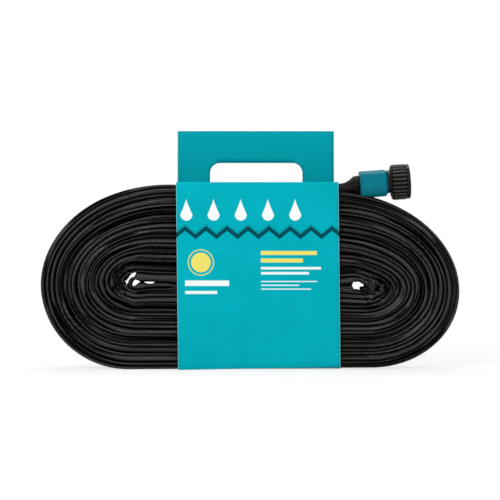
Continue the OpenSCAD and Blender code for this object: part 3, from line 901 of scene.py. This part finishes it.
def turned(name, outline, material, segments=96, shape=None):
    # a closed outline of (radius, height) turned round Z; shape moves a point at an angle
    angles = np.linspace(0, 2 * np.pi, segments, endpoint=False)[:, None]
    radius, height = (np.repeat(outline[None, :, k], segments, 0) for k in (0, 1))
    if shape is not None:
        radius = shape(radius, height, angles)
    points = np.stack([radius * np.cos(angles), radius * np.sin(angles), height], 2)
    faces = gridFaces(segments, len(outline), True, True).reshape(-1, 4).tolist()
    piece = meshObject(name, points, faces, [material])

    def close(mesh):
        bmesh.ops.remove_doubles(mesh, verts=mesh.verts, dist=1e-7)
        bmesh.ops.recalc_face_normals(mesh, faces=mesh.faces)
    reshaped(piece.data, close)
    return piece


def rounded(corners, steps=4):
    # a closed outline of (radius, height, rounding) corners; a rounding of 0 keeps the corner
    corners = np.asarray(corners, float)
    outline = []
    for k, (*here, r) in enumerate(corners):
        a, b = corners[k - 1, :2] - here, corners[(k + 1) % len(corners), :2] - here
        la, lb = np.linalg.norm(a), np.linalg.norm(b)
        if r == 0:
            outline.append(here)
            continue
        a, b = a / la, b / lb
        half = 0.5 * math.acos(float(np.clip(a @ b, -1, 1)))
        reach = min(r / math.tan(half), 0.49 * la, 0.49 * lb)
        for f in np.linspace(0, 1, steps + 1):
            outline.append(here + a * reach * (1 - f) ** 2 + b * reach * f ** 2)
    return np.array(outline)


def ribRingTree():
    # bars with rounded ends, standing in a ring round Z
    g = Nodes(bpy.data.node_groups.new("ribRing", "GeometryNodeTree"))
    kinds = {"count": "Int", "ringRadius": "Float", "ribRadius": "Float",
             "low": "Vector", "high": "Vector", "finish": "Material"}
    g.tree.interface.new_socket("Geometry", in_out="OUTPUT", socket_type="NodeSocketGeometry")
    for name, kind in kinds.items():
        g.tree.interface.new_socket(name, in_out="INPUT", socket_type="NodeSocket" + kind)
    given = g.node("NodeGroupInput").outputs
    ring = g.add("GeometryNodeMeshCircle", {"Vertices": given["count"], "Radius": given["ringRadius"]})
    line = g.add("GeometryNodeCurvePrimitiveLine", {"Start": given["low"], "End": given["high"]})
    line = g.add("GeometryNodeResampleCurve", {"Curve": line, "Count": 12})
    fromMiddle = g.maths("MULTIPLY_ADD", g.add("GeometryNodeSplineParameter"), 2.0, -1.0)
    fall = g.maths("POWER", g.maths("ABSOLUTE", fromMiddle), 9.0)
    size = g.times(g.maths("SQRT", g.minus(1.03, fall)), given["ribRadius"])
    profile = g.add("GeometryNodeCurvePrimitiveCircle", {"Resolution": 10, "Radius": 1.0})
    bar = g.add("GeometryNodeCurveToMesh", {"Curve": line, "Profile Curve": profile,
                                            "Scale": size, "Fill Caps": True})
    bars = g.add("GeometryNodeInstanceOnPoints", {"Points": ring, "Instance": bar})
    real = g.add("GeometryNodeRealizeInstances", {"Geometry": bars})
    painted = g.add("GeometryNodeSetMaterial", {"Geometry": real, "Material": given["finish"]})
    g.node("NodeGroupOutput", {"Geometry": painted})
    return g.tree


def ribRing(name, material, **sizes):
    holder = placed(name, bpy.data.meshes.new(name))
    modifier = holder.modifiers.new("ribs", "NODES")
    modifier.node_group = ribTree
    sockets = {item.name: item.identifier for item in ribTree.interface.items_tree
               if item.in_out == "INPUT"}
    for key, value in dict(sizes, finish=material).items():
        modifier[sockets[key]] = value
    bakeModifiers(holder)
    holder.data.polygons.foreach_set("use_smooth", [True] * len(holder.data.polygons))
    return holder


plastic = {
    # noises: how often, detail, roughness
    "cloud": (60.0, 4.0, 0.6),
    "grain": (2600.0, 2.0, 0.5),
    "grainHeight": 0.00006,
    "scuff": (420.0, 4.0, 0.65),
    "scuffed": 0.12,          # how much rougher the scuffs are
}


def plasticFinish(name, dark, light, roughness, gloss, recolour=None):
    m = newMaterial(name)
    place = m.place("Object")
    cloud = m.noise(place, *plastic["cloud"])
    scuff = m.span(m.noise(m.scaled(place, (1.0, 1.0, 5.0)), *plastic["scuff"]), 0.60, 0.70)
    colour = m.blendColours(m.span(cloud, 0.3, 0.7), dark, light)
    rough = m.plus(m.span(cloud, 0.3, 0.7, roughness - 0.05, roughness + 0.06),
                   m.times(scuff, plastic["scuffed"]))
    if recolour is not None:
        colour, gloss, rough = recolour(m, colour, gloss, rough)
    grain = m.bump(m.noise(place, *plastic["grain"]), plastic["grainHeight"], 0.35)
    return m.finish(colour, rough, grain, gloss)


def onFitting(m, which):
    # a point's distance from a fitting's line, and its place along it
    matrix = fittingMatrix(which)
    axis = tuple(matrix.to_3x3() @ Vector((0, 0, 1)))
    off = m.vector("SUBTRACT", m.place("Object"), tuple(matrix.translation))
    return m.vector("LENGTH", m.vector("CROSS_PRODUCT", off, axis)), m.vector("DOT_PRODUCT", off, axis)


def ribbed(which, valley, ridge, rimFrom):
    # painted shade: black between the ribs, a painted highlight paler on their crests, and darker on the
    # rim
    def recolour(m, colour, gloss, rough):
        radius, along = onFitting(m, which)
        light = m.times(m.span(radius, valley, ridge, 0.03, 1.0),
                        m.span(along, rimFrom, rimFrom + 0.0004, 1.0, 0.45))
        inside = m.span(radius, valley - 0.0012, valley - 0.0006, 0.35, 0.0)
        light = m.most(light, inside)
        # the painted shade and highlight go into the colour and the gloss
        colour = m.blendColours(light, ink(3, 3, 2), colour)
        return colour, m.span(light, 0, 1, 0.03, gloss), m.plus(rough, inside)
    return recolour


def banded(which):
    # faint bands round the collar, darker towards the hose
    def recolour(m, colour, gloss, rough):
        along = onFitting(m, which)[1]
        bands = m.noise(m.vector("MULTIPLY", m.times(along, 260.0), (1, 0, 0)), 1.0, 2.0, 0.5)
        shade = m.times(m.span(bands, 0.3, 0.7, 0.0, 0.30), m.span(along, 0.0, 0.003, 0.6, 1.0))
        shade = m.most(shade, m.span(along, 0.0012, 0.0048, 0.5, 0.0))
        return m.blendColours(shade, colour, ink(0, 74, 88)), gloss, rough
    return recolour


gripBlack = (ink(30, 27, 25), ink(42, 39, 36), 0.30, 0.34)
collarTeal = (ink(0, 110, 128), ink(0, 119, 137), 0.22, 0.08)
fittingBlack = plasticFinish("mouldedBlack", ink(8, 7, 7), ink(16, 15, 14), 0.32, 0.2)
nutBlack = plasticFinish("nutBlack", *gripBlack, ribbed("inlet", 0.01665, 0.0177, 0.04695))
capBlack = plasticFinish("capBlack", *gripBlack, ribbed("outlet", 0.01538, 0.0161, 0.0480))
inletTeal = plasticFinish("inletTeal", *collarTeal, banded("inlet"))
outletTeal = plasticFinish("outletTeal", *collarTeal, banded("outlet"))
sealBlack = plasticFinish("softSeal", ink(20, 20, 20), ink(30, 29, 28), 0.62, 0.3)
innerTube = plasticFinish("innerTube", ink(22, 22, 22), ink(32, 31, 30), 0.5, 0.3)
flowWhite = plasticFinish("flowDisc", ink(222, 221, 216), ink(236, 235, 230), 0.4, 0.4)

nut = {
    "from": 0.03085,
    "to": 0.05015,
    "boreRadius": 0.0097,
    "recessRadius": 0.01295,
    "wall": 0.0024,
    "bodyRadius": 0.01655,
    "rimRadius": 0.0175,
    "rimLength": 0.0032,
    "rearChamfer": (0.0045, 0.0014),
    "threadFrom": 0.0399,
    "threadTo": 0.04955,
    "threadRoot": 0.01348,
    "threadCrest": 0.01225,
    "pitch": 0.0254 / 11.5,
    "threadSteps": 14,        # rows for each turn of the thread
    "segments": 104,
    "ribs": 26,
    "ribRadius": 0.0015,
    "ribTop": 0.0178,
}


def nutThread(radius, height, angle):
    # pulls the thread's rows in to a helical thread, which fades out at both ends
    low, high, root, pitch = nut["threadFrom"], nut["threadTo"], nut["threadRoot"], nut["pitch"]
    onThread = (height > low) & (height < high) & (np.abs(radius - root) < 1e-6)
    phase = np.mod(height / pitch - angle / (2 * np.pi), 1.0)
    rise = np.clip((np.abs(phase - 0.5) - 0.125) / 0.25, 0, 1)
    fade = np.clip(np.minimum(height - low, high - height) / (0.5 * pitch), 0, 1)
    return np.where(onThread, root + (nut["threadCrest"] - root) * (1 - rise) * fade, radius)


def buildNut():
    body, rim, low, high = nut["bodyRadius"], nut["rimRadius"], nut["from"], nut["to"]
    rimFrom, (chamferIn, chamferUp) = high - nut["rimLength"], nut["rearChamfer"]
    threadRows = int(round((nut["threadTo"] - nut["threadFrom"]) / nut["pitch"] * nut["threadSteps"]))
    outside = rounded([
        (nut["boreRadius"], low, 0.0002), (body - chamferIn, low, 0.0005),
        (body, low + chamferUp, 0.0006), (body, rimFrom - 0.0003, 0.0003),
        (rim, rimFrom + 0.0002, 0.0003), (rim, high, 0.0007), (nut["threadRoot"] + 0.0005, high, 0.0003)])
    inside = [(nut["threadRoot"], z) for z in np.linspace(nut["threadTo"], nut["threadFrom"], threadRows)]
    inside += [(nut["recessRadius"], nut["threadFrom"] - 0.0001),
               (nut["recessRadius"], low + nut["wall"]), (nut["boreRadius"], low + nut["wall"])]
    shell = turned("nutShell", np.concatenate([outside, inside]), nutBlack, nut["segments"], nutThread)
    ribs = ribRing("nutRibs", nutBlack, count=nut["ribs"],
                   ringRadius=nut["ribTop"] - nut["ribRadius"], ribRadius=nut["ribRadius"],
                   low=(0, 0, low + 0.0012), high=(0, 0, rimFrom + 0.0004))
    return settle(joined("swivel_nut", nutBlack, shell, ribs), "inlet")


collar = {
    "radius": 0.0135,
    "length": 0.028,
    "bore": 0.00925,
    "rearRound": 0.0016,
    "frontChamfer": 0.0022,
    "pocketAt": 0.0112,
    "pocketSize": (0.0024, 0.0026, 0.0030),
}


def buildCollar(name, which, material):
    r, length, bore, chamfer = (collar[key] for key in ("radius", "length", "bore", "frontChamfer"))
    ring = turned(name, rounded([
        (bore, 0, 0.0004), (r, 0, collar["rearRound"]), (r, length - chamfer, 0.0006),
        (r - chamfer, length, 0.0006), (bore, length, 0.0003)], 5), material)
    cutter = placed("pocket", bpy.data.meshes.new("pocket"))

    def box(mesh):
        bmesh.ops.create_cube(mesh, size=1.0)
        bmesh.ops.scale(mesh, vec=collar["pocketSize"], verts=mesh.verts)
        bmesh.ops.translate(mesh, vec=(-r, 0, collar["pocketAt"]), verts=mesh.verts)
    reshaped(cutter.data, box)
    cut = ring.modifiers.new("pocket", "BOOLEAN")
    cut.operation = "DIFFERENCE"
    cut.solver = "EXACT"
    cut.object = cutter
    bakeModifiers(ring)
    bpy.data.objects.remove(cutter)
    return settle(ring, which)


cap = {
    "from": 0.03155,
    "to": 0.04755,
    "bodyRadius": 0.01530,
    "ribTop": 0.0162,
    "ribRadius": 0.00118,
    "ribs": 24,
    "bore": 0.01365,
    "wall": 0.0024,
    "dish": (0.0110, 0.0100, 0.0006),      # the end face is sunk a little: outer and inner edge, depth
}


def buildCap():
    body, low, high, bore = cap["bodyRadius"], cap["from"], cap["to"], cap["bore"]
    dishOut, dishIn, sunk = cap["dish"]
    shell = turned("capShell", rounded([
        (bore, low, 0.0002), (body, low, 0.0006), (body, high, 0.0012), (dishOut, high, 0.0004),
        (dishIn, high - sunk, 0.0004), (0.0, high - sunk, 0), (0.0, high - cap["wall"], 0),
        (bore, high - cap["wall"], 0.0003)]), capBlack)
    ribs = ribRing("capRibs", capBlack, count=cap["ribs"],
                   ringRadius=cap["ribTop"] - cap["ribRadius"], ribRadius=cap["ribRadius"],
                   low=(0, 0, low + 0.0008), high=(0, 0, high - 0.0010))
    return settle(joined("screw_cap", capBlack, shell, ribs), "outlet")


ribTree = ribRingTree()
nutPiece = buildNut()
inletCollar = buildCollar("inlet_collar_ring", "inlet", inletTeal)
outletCollar = buildCollar("outlet_collar_ring", "outlet", outletTeal)
capPiece = buildCap()
print("fittings made")


# ---- card ----

card = {
    "left": -0.074,
    "right": 0.0885,
    "thickness": 0.00040,
    "halfDepth": 0.0260,
    "top": 0.1880,
    "corner": 0.0011,
    "creaseCorner": 0.0004,
    "creaseGap": 0.0008,      # the rear hole ends this far above the crease
    "handleTop": 0.2435,
    "handleShift": -0.0013,
    "footShift": 0.0021,      # the panel runs this much to the right at its foot
    "footLift": 0.0031,       # the front panel's lower edge rises this much to the right
    "liftFrom": (0.012, 0.014, 0.02),      # in depth, over this much, and up to this height
    "bulge": 0.0006,
    "ruffle": 0.00025,
    "holeLeft": -0.0402,
    "holeRight": 0.05575,
    "holeTop": 0.2104,
    "holeRound": 0.0102,
    "notchEnd": 0.011,        # the hole runs on into the top panel as far as this
    "notchRound": 0.004,
    "columns": (8, 12, 8),
    "step": 0.006,
    "leastStep": 0.00005,
}


def cardProfile():
    # the strip's outer line, as (y, z), from the handle's front layer round the coil and up again
    d, r = card["halfDepth"], card["corner"]
    front = d - 2 * card["thickness"]
    corners = [
        ((front, card["handleTop"]), 0), ((front, card["top"]), card["creaseCorner"]),
        ((-d, card["top"]), r), ((-d, 0.0), r), ((d, 0.0), r), ((d, card["handleTop"]), 0)]
    line = []
    for k, (place, radius) in enumerate(corners):
        here = np.array(place)
        if radius == 0:
            line.append(here)
            continue
        a, b = unitRows(np.array([corners[k - 1][0], corners[k + 1][0]]) - here)
        centre = here + radius * (a + b)
        for turn in np.linspace(0, np.pi / 2, 5):
            line.append(centre - radius * (b * math.cos(turn) + a * math.sin(turn)))
    return np.array(line)


def cardRows():
    # the profile cut into rows, with extra rows at the holes' ends and round their corners
    line = cardProfile()
    along = summed(stepsOf(line))
    layer = card["handleTop"] - card["holeTop"]
    crease = along[-1] - (card["handleTop"] - card["top"]) + card["creaseGap"]
    r = card["holeRound"]
    notchEnd = along[1] + (line[5][0] - card["notchEnd"]) + (along[5] - along[1])
    holes = [(layer, layer + r, notchEnd - card["notchRound"], notchEnd),
             (crease, crease, along[-1] - layer - r, along[-1] - layer)]
    curve = 1 - np.cos(np.linspace(0, np.pi / 2, 7))
    marks = list(along)
    for start, startFull, endFull, end in holes:
        marks += list(start + (startFull - start) * curve) + list(end - (end - endFull) * curve)
    marks = np.unique(np.round(marks, 6))
    rows = [marks[0]]
    for here in marks[1:]:
        if here - rows[-1] < card["leastStep"]:
            continue
        count = max(1, int(math.ceil((here - rows[-1]) / card["step"])))
        rows += list(np.linspace(rows[-1], here, count + 1)[1:])
    rows = np.array(rows)
    return rows, np.interp(rows, along, line[:, 0]), np.interp(rows, along, line[:, 1]), np.array(holes)


def holeInset(s, start, startFull, endFull, end):
    # how far the hole's sides stand in at each row, for its rounded corners
    def corner(size, beyond):
        d = np.clip(beyond / np.maximum(size, 1e-9), 0, 1)
        return size * (1 - np.sqrt(1 - d * d))
    return corner(startFull - start, startFull - s) + corner(end - endFull, s - endFull)


def buildCard(materials):
    rows, y, z, holes = cardRows()
    nl, nm, nr = card["columns"]
    inset = holeInset(rows, *np.where(rows[:, None] < rows[-1] / 2, *holes).T)
    left, right = card["holeLeft"] + inset, card["holeRight"] - inset
    x = np.concatenate([np.linspace(card["left"], left, nl + 1), np.linspace(left, right, nm + 1)[1:],
                        np.linspace(right, card["right"], nr + 1)[1:]]).T
    y, z, s = y[:, None] + 0 * x, z[:, None] + 0 * x, rows[:, None] + 0 * x
    up = np.clip(z / card["top"], 0, 1)
    atTop = card["handleShift"] * np.clip(y / card["halfDepth"] / 2 + 0.5, 0, 1)
    crown = np.where(z < card["top"], card["bulge"] * np.sin(np.pi * up), 0.0)
    across = (x - card["left"]) / (card["right"] - card["left"])
    ruffle = wander(47, (3.1, 5.3), card["ruffle"])(across + up) * (crown != 0)
    out = crown * np.maximum(np.sin(np.pi * across), 0) ** 0.7 + ruffle
    depth, over, height = card["liftFrom"]
    lift = card["footLift"] * across * np.clip((-y - depth) / over, 0, 1) * np.clip(1 - z / height, 0, 1)
    push = np.copysign(out, y) * (np.abs(y) > card["halfDepth"] - 1e-5)
    points = np.stack([x + mix(card["footShift"], atTop, up), y + push, z + lift], 2)

    middle = (rows[1:] + rows[:-1]) / 2
    inHole = np.any([(middle > h[0] - 1e-9) & (middle < h[3] + 1e-9) for h in holes], 0)
    column = np.arange(nl + nm + nr)
    kept = ~(inHole[:, None] & (column >= nl) & (column < nl + nm))
    faces = gridFaces(len(rows), nl + nm + nr + 1)[kept]
    uv = np.stack([x, s], 2).reshape(-1, 2)[faces.ravel()]
    piece = meshObject("carry_card", points, faces.tolist(), materials, uv)

    def dropLoose(mesh):
        bmesh.ops.delete(mesh, geom=[v for v in mesh.verts if not v.link_faces], context="VERTS")
    reshaped(piece.data, dropLoose)
    wall = piece.modifiers.new("wall", "SOLIDIFY")
    wall.thickness = card["thickness"] - 0.00001
    wall.offset = -1
    wall.use_rim = True
    wall.material_offset = 1
    wall.material_offset_rim = 2
    return bakeModifiers(piece)


printed = {
    "top": 0.107,             # where the front panel starts along the strip, from the handle's top
    "soft": 0.0003,
    "board": (ink(0, 162, 175), ink(0, 170, 184)),
    "white": ink(236, 240, 240),
    "yellow": ink(232, 218, 104),
    "deep": ink(2, 72, 84),
    "handleShade": ink(0, 150, 162),
    "handleEnds": ((0.0565, 0.0505), (-0.2555, -0.2615)),    # along the strip, and up behind
    "cutEdge": (0.0006, 0.45, ink(150, 228, 236)),           # how wide, how strong, colour
    "drops": {"from": -0.064, "pitch": 0.0272, "count": 5, "low": 0.1565, "radius": 0.0062, "tip": 0.0165},
    "zigzag": {"middle": 0.1385, "rise": 0.0042, "half": 0.0105, "thick": 0.0026,
               "line": (0.0012, 0.0019)},
    "sun": {"at": (-0.050, 0.1085), "radius": 0.0098, "ring": (0.0122, 0.0131)},
    # plain bars: left, right, low, high, colour
    "bars": (
        (0.010, 0.066, 0.1160, 0.1200, "yellow"), (0.010, 0.052, 0.1085, 0.1125, "yellow"),
        (0.010, 0.070, 0.1015, 0.1040, "white"), (0.010, 0.058, 0.0965, 0.0990, "white"),
        (0.010, 0.066, 0.0890, 0.0900, "white"), (0.010, 0.048, 0.0852, 0.0862, "white"),
        (0.010, 0.060, 0.0814, 0.0824, "white"), (-0.066, -0.022, 0.0850, 0.0905, "white"),
        (-0.066, -0.034, 0.0770, 0.0800, "white")),
}


def printedFinish():
    # coated board, turquoise, with a generic print of drops, a zigzag, a sun and plain bars
    m = newMaterial("printedCard")
    place = m.place("Object")
    x, along = m.node("ShaderNodeSeparateXYZ", (m.place("UV"),)).outputs[:2]
    up = m.minus(printed["top"] + card["top"], along)
    soft = printed["soft"]

    def inside(value, low, high):
        return m.maths("MINIMUM", m.span(value, low - soft, low + soft),
                       m.span(value, high + soft, high - soft))

    cloud = m.noise(place, 30.0, 3.0, 0.5)
    fibre = m.noise(place, 900.0, 3.0, 0.6)
    colour = m.blendColours(m.span(cloud, 0.3, 0.7), *printed["board"])
    # painted shade: the handle is darker than the front panel
    onHandle = m.most(*(m.span(value, *ends) for value, ends in zip((along, up), printed["handleEnds"])))
    colour = m.blendColours(m.times(onHandle, 0.8), colour, printed["handleShade"])
    reach, strength, tint = printed["cutEdge"]
    for edge in (card["left"], card["right"]):
        pale = m.times(inside(x, edge - reach, edge + reach), strength)
        colour = m.blendColours(pale, colour, tint)

    wave = printed["zigzag"]
    fold = m.maths("PINGPONG", m.plus(x, 1.0), wave["half"])
    rise = m.span(fold, 0, wave["half"], -wave["rise"], wave["rise"])
    height = m.minus(m.minus(up, wave["middle"]), rise)
    colour = m.blendColours(inside(height, -wave["thick"], wave["thick"]), colour, printed["deep"])
    thin = inside(height, *(wave["thick"] + edge for edge in wave["line"]))
    colour = m.blendColours(m.times(thin, 0.6), colour, printed["deep"])

    drop = printed["drops"]
    r, pitch, start = drop["radius"], drop["pitch"], drop["from"] - drop["pitch"] / 2
    cell = m.maths("FRACT", m.maths("DIVIDE", m.minus(x, start), pitch))
    side = m.times(m.maths("ABSOLUTE", m.minus(cell, 0.5)), pitch)
    rise = m.minus(up, drop["low"])
    bowl = m.maths("SQRT", m.most(m.minus(r * r, m.times(rise, rise)), 0.0))
    taper = m.times(m.maths("POWER", m.span(rise, 0, drop["tip"], 1.0, 0.0), 1.25), r)
    half = m.add("ShaderNodeMix", {0: m.maths("GREATER_THAN", rise, 0.0), 2: bowl, 3: taper},
                 data_type="FLOAT")
    within = m.span(m.minus(half, side), 0, 0.0004)
    row = inside(x, start, drop["from"] + pitch * (drop["count"] - 0.5))
    tall = inside(up, drop["low"] - r - 0.001, drop["low"] + drop["tip"] + 0.001)
    colour = m.blendColours(m.times(within, m.times(row, tall)), colour, printed["white"])

    sun = printed["sun"]
    squares = (m.maths("POWER", m.minus(value, at), 2.0) for value, at in zip((x, up), sun["at"]))
    away = m.maths("SQRT", m.plus(*squares))
    for low, high in ((-1.0, sun["radius"]), sun["ring"]):
        colour = m.blendColours(inside(away, low, high), colour, printed["yellow"])
    for low, high, foot, head, tint in printed["bars"]:
        bar = m.times(inside(x, low, high), inside(up, foot, head))
        colour = m.blendColours(bar, colour, printed[tint])
    return m.finish(colour, m.span(cloud, 0.3, 0.7, 0.42, 0.52), m.bump(fibre, 0.00008, 0.3), 0.03)


def boardFinish(name, dark, light):
    m = newMaterial(name)
    fibre = m.noise(m.scaled(m.place("Object"), (1.0, 1.0, 3.0)), 700.0, 5.0, 0.7)
    colour = m.blendColours(m.span(fibre, 0.3, 0.7), dark, light)
    return m.finish(colour, m.span(fibre, 0.2, 0.8, 0.75, 0.92), m.bump(fibre, 0.0001, 0.4))


insideBoard = boardFinish("boardInside", ink(176, 172, 164), ink(205, 202, 195))
edgeBoard = boardFinish("boardEdge", ink(196, 200, 196), ink(222, 224, 220))
cardPiece = buildCard([printedFinish(), insideBoard, edgeBoard])
print("card made")


# ---- what stands for what, and what each rides on ----

dressed = {
    "inlet_stem": fittingBlack, "outlet_stem": fittingBlack, "inlet_liner": innerTube,
    "outlet_liner": innerTube, "inlet_washer": sealBlack, "cap_seal": sealBlack, "flow_disc": flowWhite}
for node, material in dressed.items():
    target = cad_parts[node]
    target.data.materials.clear()
    target.data.materials.append(material)

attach(hosePiece, "hose")
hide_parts("hose_coil", "inlet_lead", "outlet_lead")
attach(nutPiece, "coupling")
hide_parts("coupling_nut")
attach(inletCollar, "hose")
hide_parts("inlet_collar")
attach(outletCollar, "hose")
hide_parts("outlet_collar")
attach(capPiece, "cap")
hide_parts("end_cap")
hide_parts("card_wrap", "card_handle")
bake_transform(cardPiece)
print("pieces ride and replace")


# ---- stage, lights and world ----

stage = {
    "halfSize": 6.0,
    "floorColour": (0.92, 0.92, 0.92, 1),
    "floorGlow": 1.03,
    "glowShare": 0.74,
    "shadowFades": (0.30, 0.95),       # past the object the floor fades to plain white
    "worldStrength": 0.36,
    "aim": (0.0, 0.0, 0.1),
    "key": ((-1.1, -1.5, 1.5), (1.2, 1.2), 30.0),
    "fill": ((1.6, -1.2, 0.8), (1.2, 1.2), 10.5),
    "top": ((0.0, 0.5, 1.7), (1.4, 0.8), 13.0),
}


def seenBy(m, plain, seen, output):
    # cameras, mirrors and glass see the second shader, and the rest the first
    rays = m.node("ShaderNodeLightPath").outputs
    either = m.most(rays["Is Camera Ray"], rays["Is Glossy Ray"])
    choice = m.add("ShaderNodeMixShader", (m.most(either, rays["Is Transmission Ray"]), plain, seen))
    m.feed(m.tree.nodes[output].inputs["Surface"], choice)


def buildStage():
    world = bpy.data.worlds.new("studio")
    bpy.context.scene.world = world
    m = Nodes(world)
    dim = m.tree.nodes["Background"]
    dim.inputs["Color"].default_value = (1, 1, 1, 1)
    dim.inputs["Strength"].default_value = stage["worldStrength"]
    white = m.add("ShaderNodeBackground", {"Color": (1, 1, 1, 1)})
    seenBy(m, dim.outputs[0], white, "World Output")

    m = newMaterial("paleFloor")
    m.tree.nodes.remove(m.tree.nodes["Principled BSDF"])
    diffuse = m.add("ShaderNodeBsdfDiffuse", {"Color": stage["floorColour"]})
    glow = m.add("ShaderNodeEmission", {"Strength": stage["floorGlow"]})
    away = m.vector("LENGTH", m.place("Object"))
    share = m.span(away, *stage["shadowFades"], stage["glowShare"], 1.0)
    shadowed = m.add("ShaderNodeMixShader", (share, diffuse, glow))
    seenBy(m, diffuse, shadowed, "Material Output")
    s = stage["halfSize"]
    corners = [(-s, -s, 0), (s, -s, 0), (s, s, 0), (-s, s, 0)]
    floor = meshObject("floor", corners, [(0, 1, 2, 3)], [m.owner])


def lamp(name, place, size, power):
    data = bpy.data.lights.new(name, "AREA")
    data.shape = "RECTANGLE"
    data.size, data.size_y = size
    data.energy = power
    light = placed(name, data)
    light.location = place
    light.rotation_euler = (Vector(stage["aim"]) - Vector(place)).to_track_quat("-Z", "Y").to_euler()


buildStage()
for name in ("key", "fill", "top"):
    lamp(name, *stage[name])
bpy.context.scene.view_settings.view_transform = "Standard"
print("stage lit")
